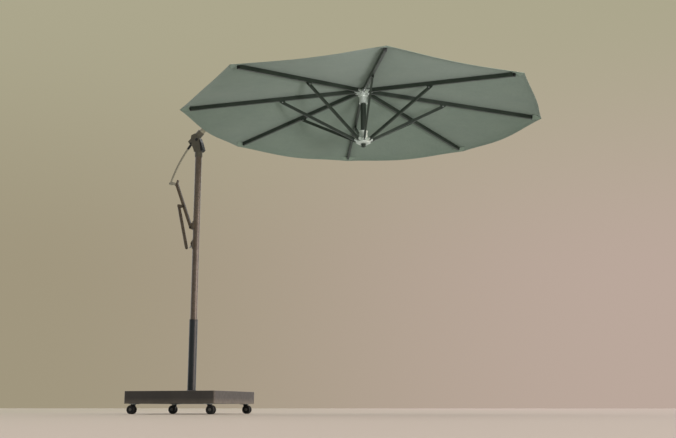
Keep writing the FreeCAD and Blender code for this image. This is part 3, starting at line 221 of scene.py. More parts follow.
class Surface(Nodes):
    """A Principled material whose node tree is built up one layer at a time."""

    def __init__(self, name, rough, metal=0.0, coat=0.0):
        self.material = bpy.data.materials.new(name)
        self.material.use_nodes = True
        super().__init__(self.material.node_tree)
        self.shader = self.tree.nodes["Principled BSDF"]
        self.shader.inputs["Metallic"].default_value = metal
        self.shader.inputs["Roughness"].default_value = rough
        self.shader.inputs["Coat Weight"].default_value = coat
        self.place = self.add("ShaderNodeTexCoord").outputs["Object"]

    def uv(self, name):
        return self.add("ShaderNodeUVMap", uv_map=name).outputs["UV"]

    def axes(self, source):
        return self.add("ShaderNodeSeparateXYZ", {"Vector": source}).outputs

    def stretched(self, source, scale):
        return self.add("ShaderNodeMapping", {"Vector": source}, {"Scale": scale}).outputs["Vector"]

    def noise(self, source, scale, detail=3.0, rough=0.5):
        made = self.add("ShaderNodeTexNoise", {"Vector": source},
                        {"Scale": scale, "Detail": detail, "Roughness": rough})
        return made.outputs["Fac"]

    def cells(self, source, scale):
        made = self.add("ShaderNodeTexVoronoi", {"Vector": source}, {"Scale": scale})
        return made.outputs["Distance"]

    def bump(self, height, distance, strength=1.0):
        """Adds one more layer of relief over those already there."""
        links = {"Height": height}
        if self.shader.inputs["Normal"].is_linked:
            links["Normal"] = self.shader.inputs["Normal"].links[0].from_socket
        made = self.add("ShaderNodeBump", links, {"Distance": distance, "Strength": strength})
        self.tree.links.new(made.outputs["Normal"], self.shader.inputs["Normal"])

    def colour(self, source):
        self.tree.links.new(source, self.shader.inputs["Base Color"])

    def rough(self, source):
        self.tree.links.new(source, self.shader.inputs["Roughness"])


# ---------------------------------------------------------------- finishes
def powder_coat(name, base, faded, dust, rough=0.42):
    """Sprayed powder coat: fine orange peel, slight fading, rubbed spots and a little dust on top."""
    s = Surface(name, rough)
    fade = s.ranged(s.noise(s.place, 5.0, 5.0, 0.6), 0.38, 0.66)
    body = s.mixed(fade, base, faded)
    up = s.axes(s.add("ShaderNodeNewGeometry").outputs["Normal"])["Z"]
    settled = s.math("MULTIPLY", s.ranged(up, 0.55, 1.0, 0.0, 0.45), s.noise(s.place, 40.0, 6.0, 0.7))
    body = s.mixed(settled, body, dust)
    rubbed = s.ranged(s.noise(s.place, 160.0, 2.0, 0.4), 0.68, 0.80, 0.0, 0.35)
    s.colour(s.mixed(rubbed, body, faded))
    s.rough(s.ranged(s.noise(s.place, 26.0, 4.0, 0.6), 0.25, 0.75, rough - 0.07, rough + 0.12))
    s.bump(s.noise(s.place, 750.0, 2.0, 0.5), 0.00006)
    s.bump(s.noise(s.place, 60.0, 2.0, 0.5), 0.00010)
    return s.material


def anodised(name, base, worn, rough=0.34):
    """Drawn aluminium: a long grain, soft colour drift and small handling marks."""
    s = Surface(name, rough, 0.85)
    lines = s.noise(s.stretched(s.place, (3.0, 260.0, 260.0)), 4.0, 4.0, 0.65)
    drift = s.ranged(s.noise(s.place, 7.0, 4.0, 0.6), 0.3, 0.7)
    body = s.mixed(drift, base, worn)
    scratches = s.noise(s.stretched(s.place, (90.0, 400.0, 90.0)), 1.0, 5.0, 0.7)
    marks = s.ranged(scratches, 0.66, 0.76, 0.0, 0.5)
    s.colour(s.mixed(marks, body, srgb(120, 118, 110)))
    s.rough(s.ranged(lines, 0.25, 0.75, rough - 0.10, rough + 0.14))
    s.bump(lines, 0.00005)
    return s.material


def cast_silver(name, base, shadow, rough=0.36):
    """Cast and lacquered aluminium: a pebbled skin, with a painted shade tone in its pores and in random patches.
    """
    s = Surface(name, rough, 0.55, 0.25)
    skin = s.noise(s.place, 420.0, 5.0, 0.62)
    # painted shade: the shadow colour goes into the pores and, as stain and shade, into random patches
    pores = s.ranged(s.cells(s.place, 300.0), 0.04, 0.30, 0.55, 0.0)
    stain_and_shade = s.ranged(s.noise(s.place, 22.0, 5.0, 0.65), 0.5, 0.8, 0.0, 0.55)
    body = s.mixed(pores, base, shadow)
    s.colour(s.mixed(stain_and_shade, body, shadow))
    s.rough(s.ranged(s.noise(s.place, 60.0, 4.0, 0.6), 0.3, 0.7, rough - 0.10, rough + 0.16))
    s.bump(skin, 0.00022)
    return s.material


def zinc_plate(name):
    """Bright zinc: crystal spangle, fine scratches and a few dull spots."""
    s = Surface(name, 0.3, 0.95)
    spangle = s.cells(s.place, 140.0)
    body = s.mixed(s.ranged(spangle, 0.1, 0.7), srgb(196, 197, 194), srgb(150, 152, 152))
    dull = s.ranged(s.noise(s.place, 90.0, 5.0, 0.7), 0.55, 0.75, 0.0, 0.6)
    s.colour(s.mixed(dull, body, srgb(118, 114, 106)))
    s.rough(s.ranged(spangle, 0.0, 0.8, 0.24, 0.46))
    s.bump(s.noise(s.stretched(s.place, (900.0, 60.0, 60.0)), 2.0, 3.0, 0.6), 0.00003)
    return s.material


def moulded(name, base, scuffed, rough=0.5):
    """Moulded plastic or rubber: fine spark texture, greyed where it is handled."""
    s = Surface(name, rough)
    scuff = s.ranged(s.noise(s.place, 34.0, 6.0, 0.68), 0.46, 0.78, 0.0, 0.7)
    s.colour(s.mixed(scuff, base, scuffed))
    s.rough(s.ranged(s.noise(s.place, 85.0, 3.0, 0.6), 0.3, 0.7, rough - 0.08, rough + 0.14))
    s.bump(s.cells(s.place, 1400.0), 0.00007)
    s.bump(s.noise(s.place, 240.0, 3.0, 0.5), 0.00006)
    return s.material


def concrete(name):
    """Cast concrete: cement skin, sand speckle and air holes with painted shade in them."""
    s = Surface(name, 0.9)
    tone = s.ranged(s.noise(s.place, 9.0, 8.0, 0.7), 0.3, 0.7)
    body = s.mixed(tone, srgb(150, 147, 139), srgb(182, 178, 168))
    sand = s.ranged(s.noise(s.place, 520.0, 2.0, 0.5), 0.58, 0.70, 0.0, 0.6)
    # painted shade: the air holes, sunk by the bump below, are painted dark as shade inside them
    holes = s.ranged(s.cells(s.place, 75.0), 0.05, 0.16, 1.0, 0.0)
    s.colour(s.mixed(holes, s.mixed(sand, body, srgb(112, 108, 100)), srgb(78, 75, 70)))
    s.bump(s.noise(s.place, 300.0, 6.0, 0.7), 0.0005)
    s.bump(s.math("MULTIPLY", holes, -1.0), 0.0015)
    return s.material


def base_coat(name):
    """The base cover's powder coat, scuffed along its edges and dusty low down."""
    s = Surface(name, 0.46)
    low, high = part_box("base_cover")
    axes = s.axes(s.place)
    speckle = s.noise(s.place, 1100.0, 2.0, 0.5)
    fade = s.ranged(s.noise(s.place, 3.2, 6.0, 0.62), 0.36, 0.68)
    body = s.mixed(fade, srgb(64, 58, 53), srgb(76, 69, 63))
    body = s.mixed(s.ranged(speckle, 0.55, 0.72, 0.0, 0.30), body, srgb(112, 104, 95))
    grime = s.math("MULTIPLY", s.ranged(axes["Z"], low.z, low.z + 0.045, 0.75, 0.0),
                   s.noise(s.place, 18.0, 6.0, 0.7))
    body = s.mixed(grime, body, srgb(142, 130, 112))
    corner_x = s.ranged(s.math("ABSOLUTE", axes["X"]), high.x - 0.012, high.x - 0.003)
    corner_y = s.ranged(s.math("ABSOLUTE", axes["Y"]), high.y - 0.012, high.y - 0.003)
    top_edge = s.ranged(axes["Z"], high.z - 0.0035, high.z - 0.0010)
    sides = s.math("MAXIMUM", corner_x, corner_y)
    edge = s.math("MAXIMUM", s.math("MULTIPLY", corner_x, corner_y), s.math("MULTIPLY", sides, top_edge))
    chips = s.math("MULTIPLY", edge, s.ranged(s.noise(s.place, 210.0, 4.0, 0.7), 0.50, 0.62, 0.0, 0.8))
    s.colour(s.mixed(chips, body, srgb(150, 144, 132)))
    s.rough(s.ranged(s.noise(s.place, 30.0, 4.0, 0.6), 0.3, 0.7, 0.40, 0.58))
    s.bump(speckle, 0.00008)
    s.bump(s.noise(s.place, 7.0, 2.0, 0.5), 0.0010, 0.5)
    return s.material


def canvas(name, warm, cool, thread):
    """Solution-dyed cloth: plain weave, uneven yarns, double stitching along seams and hem."""
    s = Surface(name, 0.86)
    s.shader.inputs["Sheen Weight"].default_value = 0.22
    s.shader.inputs["Sheen Roughness"].default_value = 0.45
    s.shader.inputs["Specular IOR Level"].default_value = 0.25
    weave_uv = s.uv("weave")
    along = s.axes(weave_uv)
    turns = 2 * math.pi / 0.0016
    warp = s.math("SINE", s.math("MULTIPLY", along["X"], turns))
    weft = s.math("SINE", s.math("MULTIPLY", along["Y"], turns))
    weave = s.math("MULTIPLY", warp, weft)
    warp_yarn = s.noise(s.stretched(weave_uv, (420.0, 9.0, 1.0)), 1.0, 3.0, 0.6)
    weft_yarn = s.noise(s.stretched(weave_uv, (9.0, 420.0, 1.0)), 1.0, 3.0, 0.6)
    slub = s.math("ADD", warp_yarn, weft_yarn)
    drift = s.ranged(s.noise(weave_uv, 2.3, 5.0, 0.6), 0.32, 0.70)
    body = s.mixed(drift, warm, cool)
    body = s.mixed(s.ranged(slub, 0.82, 1.24, 0.0, 0.30), body, srgb(92, 104, 98))
    body = s.mixed(s.ranged(weave, -1.0, 1.0, 0.0, 0.16), body, srgb(70, 80, 76))

    edges = s.axes(s.uv("edges"))

    def stitch_line(across, at, lengthwise):
        offset = s.math("ABSOLUTE", s.math("SUBTRACT", across, at))
        line = s.ranged(offset, 0.0004, 0.0008, 1.0, 0.0)
        dash = s.ranged(s.math("SINE", s.math("MULTIPLY", lengthwise, 2 * math.pi / 0.0045)), -0.55, -0.25)
        return s.math("MULTIPLY", line, dash)

    stitches = s.math("MAXIMUM", stitch_line(edges["X"], SEAM_HALF - 0.0012, edges["Y"]),
                      stitch_line(edges["Y"], HEM_WIDTH - 0.0030, edges["X"]))
    stitches = s.math("MAXIMUM", stitches, stitch_line(edges["X"], 0.0014, edges["Y"]))
    s.colour(s.mixed(stitches, body, thread))
    s.rough(s.ranged(slub, 0.8, 1.25, 0.80, 0.93))
    s.bump(slub, 0.00030, 0.7)
    s.bump(weave, 0.00010, 0.7)
    s.bump(stitches, 0.0004)
    return s.material


MAST_DUST = srgb(140, 130, 114)
FINISHES = {
    "cover_paint": base_coat("cover_paint"),
    "tray_paint": powder_coat("tray_paint", srgb(40, 39, 38), srgb(52, 50, 48), srgb(120, 112, 100), 0.5),
    "concrete": concrete("concrete"),
    "sleeve_paint": powder_coat("sleeve_paint", srgb(26, 34, 37), srgb(35, 43, 46), srgb(90, 90, 84), 0.34),
    "steel": zinc_plate("steel"),
    "bush_plastic": moulded("bush_plastic", srgb(30, 30, 31), srgb(60, 59, 57), 0.45),
    "caster_plastic": moulded("caster_plastic", srgb(28, 28, 28), srgb(62, 60, 56), 0.40),
    "wheel_rubber": moulded("wheel_rubber", srgb(26, 25, 23), srgb(58, 54, 49), 0.62),
    "mast_paint": powder_coat("mast_paint", srgb(92, 80, 67), srgb(106, 93, 79), MAST_DUST, 0.26),
    "head_paint": powder_coat("head_paint", srgb(82, 77, 63), srgb(98, 92, 77), MAST_DUST, 0.38),
    "cover_plastic": moulded("cover_plastic", srgb(16, 16, 14), srgb(34, 32, 28), 0.34),
    "pale_metal": anodised("pale_metal", srgb(190, 182, 160), srgb(172, 164, 142)),
    "lever_paint": powder_coat("lever_paint", srgb(84, 70, 52), srgb(98, 84, 64), MAST_DUST, 0.40),
    "silver": cast_silver("silver", srgb(234, 240, 232), srgb(140, 146, 139)),
    "rib_coat": powder_coat("rib_coat", srgb(43, 51, 43), srgb(54, 62, 53), srgb(116, 118, 108), 0.34),
}
CAP_FINISH = moulded("wheel_cap_plastic", srgb(92, 88, 82), srgb(124, 118, 108), 0.40)
CLOTH_FINISH = canvas("canopy_cloth", srgb(142, 158, 143), srgb(152, 166, 150), srgb(120, 132, 122))
PATCH_FINISH = canvas("patch_cloth", srgb(156, 174, 154), srgb(164, 182, 162), srgb(126, 140, 126))


def soften_edges(node, width):
    """Rounds the edges of a bar a little; its vertices in the frame stay as they are."""
    weld = node.modifiers.new("weld", "WELD")
    weld.merge_threshold = 0.00002
    flat = node.modifiers.new("flat", "DECIMATE")
    flat.decimate_type = "DISSOLVE"
    flat.angle_limit = math.radians(0.5)
    bevel = node.modifiers.new("bevel", "BEVEL")
    bevel.width = width
    bevel.segments = 3
    bevel.limit_method = "ANGLE"
    bevel.angle_limit = math.radians(50)
    bevel.harden_normals = True


def finish_nodes():
    """Gives each CAD node the finish of its slot in the record."""
    for part in frame["record"]["subparts"]:
        finish = FINISHES.get(part["material_slot"])
        if finish is None:
            continue
        slots = nodes[part["node"]].material_slots
        if not slots:
            nodes[part["node"]].data.materials.append(finish)
        for place in slots:
            place.material = finish
    for number in range(1, RIB_COUNT + 1):
        soften_edges(nodes["rib_%d" % number], 0.0016)
        soften_edges(nodes["strut_%d" % number], 0.0012)


# ---------------------------------------------------------------- mesh helpers
def piece(name, vertices, faces, finish, body, slot=None):
    """A new mesh piece with smooth shading that rides on a body."""
    mesh = bpy.data.meshes.new(name)
    mesh.from_pydata([tuple(v) for v in vertices], [], faces)
    mesh.validate()
    mesh.materials.append(finish)
    made = bpy.data.objects.new(name, mesh)
    bpy.context.scene.collection.objects.link(made)
    for face in mesh.polygons:
        face.use_smooth = True
    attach(made, body)
    return made


def lathe(profile, place, steps=STEPS):
    """A profile of (radius, height) points turned about the local Z of a placement."""
    vertices = []
    faces = []
    rings = []
    for radius, height in profile:
        if radius == 0:
            rings.append([len(vertices)])
            vertices.append(place @ Vector((0, 0, height)))
            continue
        rings.append(range(len(vertices), len(vertices) + steps))
        for step in range(steps):
            angle = 2 * math.pi * step / steps
            vertices.append(place @ Vector((radius * math.cos(angle), radius * math.sin(angle), height)))
    for lower, upper in zip(rings, rings[1:]):
        for step in range(steps):
            after = (step + 1) % steps
            if len(lower) == 1:
                faces.append((lower[0], upper[after], upper[step]))
            elif len(upper) == 1:
                faces.append((lower[step], lower[after], upper[0]))
            else:
                faces.append((lower[step], lower[after], upper[after], upper[step]))
    return vertices, faces


def joined(parts):
    """Several (vertices, faces) as one."""
    vertices = []
    faces = []
    for more_vertices, more_faces in parts:
        start = len(vertices)
        vertices += more_vertices
        faces += [tuple(start + corner for corner in face) for face in more_faces]
    return vertices, faces


def double_skin(rows, columns, closed=False, turned=False):
    """Faces of a sheet of two layers, each of rows by columns of points: first its skins, then its rims.

    A closed sheet goes on from its last column to its first. A turned one has its columns the other way."""
    under = rows * columns
    last_row, last_column = rows - 1, columns - 1
    spans = columns if closed else last_column

    def ring(corners):
        face = [layer * under + row * columns + column % columns for row, column, layer in corners]
        return tuple(reversed(face) if turned else face)

    skins = []
    rims = []
    for row in range(last_row):
        for column in range(spans):
            quad = [(row, column), (row + 1, column), (row + 1, column + 1), (row, column + 1)]
            skins.append(ring([(*corner, 0) for corner in quad]))
            skins.append(ring([(*corner, 1) for corner in reversed(quad)]))
        if not closed:
            rims.append(ring([(row, 0, 0), (row, 0, 1), (row + 1, 0, 1), (row + 1, 0, 0)]))
            rims.append(ring([(row + 1, last_column, 0), (row + 1, last_column, 1),
                              (row, last_column, 1), (row, last_column, 0)]))
    for column in range(spans):
        rims.append(ring([(0, column, 0), (0, column + 1, 0), (0, column + 1, 1), (0, column, 1)]))
        rims.append(ring([(last_row, column, 1), (last_row, column + 1, 1),
                          (last_row, column + 1, 0), (last_row, column, 0)]))
    return skins, rims


def lay_uv(thing, name, values):
    """A UV layer from one (u, v) for each vertex."""
    table = np.array(values, np.float32).reshape(-1, 2)
    corners = [loop.vertex_index for loop in thing.data.loops]
    thing.data.uv_layers.new(name=name).data.foreach_set("uv", table[corners].ravel())


def facing(centre, direction):
    """A placement at a point whose local Z looks along a direction."""
    return Matrix.Translation(centre) @ Vector(direction).to_track_quat("Z", "Y").to_matrix().to_4x4()


def sharpen(thing, degrees=35):
    """Smooth shading that keeps the edges that turn by more than an angle."""
    thing.data.set_sharp_from_angle(angle=math.radians(degrees))


# ---------------------------------------------------------------- canopy cloth
def droop(share):
    """How far the cloth hangs between two ribs: 0 over a rib, 1 in the middle of the gore."""
    return 0.5 * math.sin(math.pi * share / 2) ** 2 + 0.5 * (1 - (1 - share) ** 2)


def cloth_point(out, along, side, azimuth):
    """A point of the cloth's middle layer in the frame of a rib.

    out is where its row crosses the rib, along is how far it is from there towards the gore's middle."""
    share = along / (out * math.sin(HALF_GORE))
    reach = out / CORNER_OUT
    bulge = HEM_BULGE * math.sin(math.pi * share / 2) ** 2 * reach ** 8
    x = out - along * math.sin(HALF_GORE) + bulge * math.cos(HALF_GORE)
    y = along * math.cos(HALF_GORE) + bulge * math.sin(HALF_GORE)
    level = HINGE.z + CLOTH_LIFT - math.tan(RIB_SLOPE) * (out - HINGE_OUT)
    past_tip = max(0.0, (out - TIP_OUT) / (CORNER_OUT - TIP_OUT))
    level -= CORNER_DROP * past_tip ** 1.5 + HEM_SAG * droop(share) * reach ** 2

    away = math.hypot(CORNER_OUT - x, y)
    fan = math.atan2(y, CORNER_OUT - x)
    calm = math.sin(math.pi * min(max(share, 0.0), 1.0)) ** 2
    pull = away / CREASE_REACH * math.exp(1 - away / CREASE_REACH)
    level += CREASE_HEIGHT * pull * math.cos(CREASE_WAVES * fan) * min(1.0, 3 * calm)
    ripple = noise.noise(Vector((RIPPLE_SCALE * x, RIPPLE_SCALE * y * side, azimuth)))
    level += RIPPLE_HEIGHT * ripple * calm * reach
    return Vector((x, side * y, level))


def gore_rows():
    """Where the cloth's rows cross the rib: even steps, then the fold of the hem."""
    hem_start = CORNER_OUT - HEM_WIDTH
    even_length = hem_start - 0.006 - CLOTH_START
    count = 44
    rows = [CLOTH_START + even_length * step / count for step in range(count + 1)]
    return rows + [hem_start, hem_start + 0.0015, CORNER_OUT - 0.010, CORNER_OUT - 0.0015, CORNER_OUT]


def gore_columns(out):
    """Distances from the rib along one row: the seam first, then even steps to the middle of the gore."""
    seam = [0.0, SEAM_HALF / 2, SEAM_HALF, SEAM_HALF + 0.0012, SEAM_HALF + 0.007]
    even_length = out * math.sin(HALF_GORE) - seam[-1]
    count = 18
    return seam + [seam[-1] + even_length * step / count for step in range(1, count + 1)]


def layer_normals(points, side):
    """Normals of one skin. Past its first and last columns the cloth goes on as a mirror image."""
    over_rib = points[:, 1] * np.array([1.0, -1.0, 1.0])
    across = np.array([-math.sin(HALF_GORE), side * math.cos(HALF_GORE), 0.0])
    past_middle = points[:, -2] - 2 * (points[:, -2] @ across)[:, None] * across
    wider = np.concatenate([over_rib[:, None], points, past_middle[:, None]], axis=1)
    normals = np.cross(np.gradient(points, axis=0), wider[:, 2:] - wider[:, :-2])
    return normals / np.linalg.norm(normals, axis=2, keepdims=True)


def make_half_gore(number, side):
    """The cloth from a rib to half way to the next one: two skins, half the seam and a turned hem."""
    azimuth = rib_azimuth(number)
    rows = gore_rows()
    spots = [[(out, along) for along in gore_columns(out)] for out in rows]
    middle = np.array([[cloth_point(out, along, side, azimuth) for out, along in row] for row in spots])
    flat = [[(side * (out * math.sin(HALF_GORE) - along), out * math.cos(HALF_GORE)) for out, along in row]
            for row in spots]
    edges = [[(along, (CORNER_OUT - out) * math.cos(HALF_GORE)) for out, along in row] for row in spots]
    seam = np.array([[along < SEAM_HALF + 1e-6 for out, along in row] for row in spots])
    hem = np.array([[out > CORNER_OUT - HEM_WIDTH + 1e-6 for out, along in row] for row in spots])
    top = middle.copy()
    top[:, :, 2] += CLOTH / 2 + SEAM_RISE * seam
    bottom = middle.copy()
    bottom[:, :, 2] -= CLOTH / 2 + HEM_RISE * hem

    place = np.array(rib_frame(number))
    vertices = []
    normals = []
    for layer, up in ((top, 1), (bottom, -1)):
        own = layer_normals(layer, side)
        own *= up * np.sign(own[..., 2:3])
        vertices.append((layer @ place[:3, :3].T + place[:3, 3]).reshape(-1, 3))
        normals.append((own @ place[:3, :3].T).reshape(-1, 3))
    vertices = np.concatenate(vertices)
    normals = np.concatenate(normals)

    skins, rims = double_skin(*middle.shape[:2], turned=side < 0)
    name = "gore_%d_%s" % (number, "left" if side > 0 else "right")
    made = piece(name, vertices, skins + rims, CLOTH_FINISH, "rib_%d" % number, "canopy_cloth")
    mesh = made.data
    lay_uv(made, "weave", [flat, flat])
    lay_uv(made, "edges", [edges, edges])
    for face in list(mesh.polygons)[len(skins):]:
        face.use_smooth = False
    own = [tuple(normals[loop.vertex_index]) for loop in mesh.loops]
    skin_loops = 4 * len(skins)
    mesh.normals_split_custom_set(own[:skin_loops] + [(0.0, 0.0, 0.0)] * (len(own) - skin_loops))
    return made


def pocket_half(share, wing=POCKET_WING):
    """Half the width of a corner pocket, where share is 0 at its open end and 1 at the cloth's corner."""
    return POCKET_TIP + wing * (1 - share) ** 0.8


def make_pocket(number):
    """Sewn patch under a corner of the cloth, which takes the tongue of the rib's end cap."""
    inner, outer = TIP_OUT + PAST_TIP, CORNER_OUT - 0.012
    place = rib_frame(number)
    rows = 12
    columns = 14
    vertices = []
    weave = []
    edges = []
    for layer in (0, 1):
        for row in range(rows + 1):
            share = row / rows
            out = inner + (outer - inner) * share
            half = pocket_half(share)
            for column in range(columns + 1):
                across = half * (2 * column / columns - 1)
                along = abs(across) / math.cos(HALF_GORE)
                crossing = out + along * math.sin(HALF_GORE)
                point = cloth_point(crossing, along, 1 if across >= 0 else -1, 0.0)
                puff = POCKET_PUFF * math.cos(math.pi / 2 * across / half) ** 2 * (1 - share ** 2)
                lower = CLOTH / 2 + POCKET_GAP + puff + layer * CLOTH
                vertices.append(place @ Vector((out, across, point.z - lower)))
                weave.append((across, out))
                inset = min(pocket_half(share, STITCH_WING) - abs(across), out - inner)
                edges.append((NO_SEAM, inset + 0.016))
    skins, rims = double_skin(rows + 1, columns + 1)
    made = piece("corner_pocket_%d" % number, vertices, skins + rims, PATCH_FINISH, "rib_%d" % number,
                 "canopy_cloth")
    lay_uv(made, "weave", weave)
    lay_uv(made, "edges", edges)
    return made


def make_crown_patch():
    """Round patch over the gores' inner ends, clamped under the hanger's flange."""
    clamped = 0.048
    rings = [0.031, clamped, 0.062, 0.080, 0.096, PATCH_RADIUS]
    steps = 96
    vertices = []
    weave = []
    edges = []
    for lift in (0.0032, 0.0020):
        for ring in rings:
            level = HINGE.z + CLOTH_LIFT - math.tan(RIB_SLOPE) * (max(ring, clamped) - HINGE_OUT)
            for step in range(steps):
                angle = 2 * math.pi * step / steps
                spot = (AXIS_X + ring * math.cos(angle), ring * math.sin(angle))
                vertices.append((*spot, level + lift))
                weave.append(spot)
                edges.append((NO_SEAM, PATCH_RADIUS - ring + 0.012))
    skins, rims = double_skin(len(rings), steps, closed=True)
    made = piece("crown_patch", vertices, skins + rims, CLOTH_FINISH, "crown", "canopy_cloth")
    lay_uv(made, "weave", weave)
    lay_uv(made, "edges", edges)
    return made


def make_canopy():
    """Each half gore and each corner pocket rides on its own rib; the round patch rides on the crown."""
    for number in range(1, RIB_COUNT + 1):
        pocket = make_pocket(number)
        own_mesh(pocket)
        for side in (-1, 1):
            gore = make_half_gore(number, side)
            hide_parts("canopy_panel_%d" % number)
            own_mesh(gore)
    make_crown_patch()


# ---------------------------------------------------------------- fittings
def button_head(place, radius, rise):
    """A domed screw head with a round recess for a key."""
    profile = [(radius * 0.96, 0.0), (radius, rise * 0.12), (radius * 0.98, rise * 0.35),
               (radius * 0.82, rise * 0.72), (radius * 0.55, rise * 0.96), (radius * 0.44, rise),
               (radius * 0.40, rise * 0.97), (radius * 0.38, rise * 0.55), (0.0, rise * 0.50)]
    return lathe(profile, place, 24)


def make_pin_heads():
    """Plastic caps on both ends of each cross pin of the linkage and of the hanger."""
    # name, body, joint, half the pin's length, radius and height of a cap
    ends = [
        ("boom_pivot_caps", "mast", joints["boom_lower"], 0.035, 0.0135, 0.0060),
        ("lever_pivot_caps", "mast", joints["lever_swing"], 0.019, 0.0085, 0.0045),
        ("latch_caps", "mast", joints["latch_turn"], 0.011, 0.0048, 0.0026),
        ("link_ear_caps", "boom", joints["link_swing"], 0.021, 0.0078, 0.0042),
        ("hanger_caps", "boom", joints["hanger_level"], 0.029, 0.0105, 0.0055),
        ("grip_caps", "lever", joints["grip_swing"], 0.017, 0.0072, 0.0040),
    ]
    for name, body, joint, half_width, radius, rise in ends:
        x, _, z = joint["pos_m"]
        heads = [button_head(facing((x, side * half_width, z), (0, side, 0)), radius, rise)
                 for side in (-1, 1)]
        sharpen(piece(name, *joined(heads), FINISHES["cover_plastic"], body, "cover_plastic"), 40)


def bevelled_box(centre, extent, bevel=0.0015):
    """Vertices and faces of a box with rounded edges."""
    mesh = bmesh.new()
    box = bmesh.ops.create_cube(mesh, size=1.0)
    bmesh.ops.scale(mesh, vec=extent, verts=box["verts"])
    bmesh.ops.translate(mesh, vec=centre, verts=box["verts"])
    bmesh.ops.bevel(mesh, geom=mesh.edges[:], offset=bevel, segments=3, profile=0.6, affect="EDGES")
    mesh.verts.index_update()
    vertices = [vertex.co.copy() for vertex in mesh.verts]
    faces = [tuple(vertex.index for vertex in face.verts) for face in mesh.faces]
    mesh.free()
    return vertices, faces


def tongue():
    """Flat strip from the end cap into the pocket, bent as the cloth is."""
    length, width, thickness = TONGUE
    rows = 10
    vertices = []
    for row in range(rows + 1):
        share = row / rows
        out = TIP_OUT + PAST_TIP + length * share
        half = width / 2 * math.sqrt(max(1 - share ** 4, 0.05))
        level = cloth_point(out, 0.0, 1, 0.0).z - CLOTH / 2 - 0.0008
        for across, down in ((-half, 0), (half, 0), (half, thickness), (-half, thickness)):
            vertices.append(Vector((out, across, level - down)))
    faces = [(3, 2, 1, 0), tuple(4 * rows + corner for corner in range(4))]
    for row in range(rows):
        for corner in range(4):
            after = (corner + 1) % 4
            faces.append((4 * row + corner, 4 * row + after, 4 * row + 4 + after, 4 * row + 4 + corner))
    return vertices, faces


def make_rib_fittings(number):
    """End cap with a tongue for the cloth's corner, and rivets at the strut's bracket."""
    tip = Matrix.Translation((TIP_OUT, 0, TIP_Z)) @ Matrix.Rotation(RIB_SLOPE, 4, "Y")
    corners, faces = bevelled_box((0.004, 0, 0), (0.010, RIB_WIDTH + 0.003, RIB_DEPTH + 0.0006))
    vertices, faces = joined([([tip @ corner for corner in corners], faces), tongue()])
    vertices = [rib_frame(number) @ vertex for vertex in vertices]
    sharpen(piece("rib_cap_%d" % number, vertices, faces, FINISHES["cover_plastic"], "rib_%d" % number,
                  "cover_plastic"))

    joint = Vector(joints["strut_hinge_%d" % number]["pos_m"])
    side = rib_frame(number).to_3x3() @ Vector((0, 1, 0))
    rivets = [button_head(facing(joint + sign * side * (RIB_WIDTH / 2), sign * side), 0.0058, 0.0026)
              for sign in (-1, 1)]
    sharpen(piece("strut_rivets_%d" % number, *joined(rivets), FINISHES["steel"], "rib_%d" % number,
                  "steel"), 40)


def make_hub_rivets():
    """Heads of the eight rib pins in the crown hub's lugs."""
    rivets = []
    for number in range(1, RIB_COUNT + 1):
        place = Vector(joints["rib_hinge_%d" % number]["pos_m"])
        side = rib_frame(number).to_3x3() @ Vector((0, 1, 0))
        for sign in (-1, 1):
            head = facing(place + sign * side * HUB_LUGS, sign * side)
            rivets.append(button_head(head, 0.0045, 0.0018))
    sharpen(piece("crown_rivets", *joined(rivets), FINISHES["steel"], "crown", "steel"), 40)


def make_runner_nut():
    """Turned nut round the spacer tube's nose, under the runner's dish."""
    dish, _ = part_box("runner_hub")
    nose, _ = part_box("spacer_tube")
    place = Matrix.Translation((AXIS_X, 0, nose.z))
    depth = dish.z - nose.z
    bore, barrel, collar = 0.0108, 0.0175, 0.0200
    profile = [(bore, 0.004), (barrel, 0.004), (collar, 0.006), (collar, 0.011), (barrel, 0.013),
               (barrel, depth - 0.009), (collar, depth - 0.006), (collar, depth - 0.0005),
               (bore, depth - 0.0005), (bore, 0.004)]
    sharpen(piece("runner_nut", *lathe(profile, place), FINISHES["rib_coat"], "runner", "rib_coat"))


def make_sleeve_grommet():
    """Rubber seal between the base cover and the socket sleeve."""
    _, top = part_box("base_cover")
    inner = SOCKET_RADIUS + 0.0002
    place = Matrix.Translation((0, 0, top.z))
    profile = [(inner, 0.0002), (inner + 0.012, 0.0002), (inner + 0.0115, 0.003), (inner + 0.007, 0.0055),
               (inner + 0.003, 0.010), (inner + 0.001, 0.0115), (inner, 0.0108), (inner, 0.0002)]
    sharpen(piece("sleeve_grommet", *lathe(profile, place, 72), FINISHES["bush_plastic"], "base",
                  "bush_plastic"))


def make_wheel_caps():
    """Grey hub caps on the outer faces of the twin wheels."""
    for number in range(1, 5):
        low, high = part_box("caster_wheels_%d" % number)
        centre = (low + high) / 2
        parts = []
        for side in (-1, 1):
            place = facing((centre.x, centre.y + side * (high.y - low.y) / 2, centre.z), (0, side, 0))
            profile = [(0.0125, -0.0028), (0.0125, -0.0010), (0.0118, 0.0), (0.0092, 0.0004),
                       (0.0084, 0.0012), (0.0050, 0.0020), (0.0, 0.0022)]
            parts.append(lathe(profile, place, 40))
        sharpen(piece("wheel_caps_%d" % number, *joined(parts), CAP_FINISH, "wheels_%d" % number))


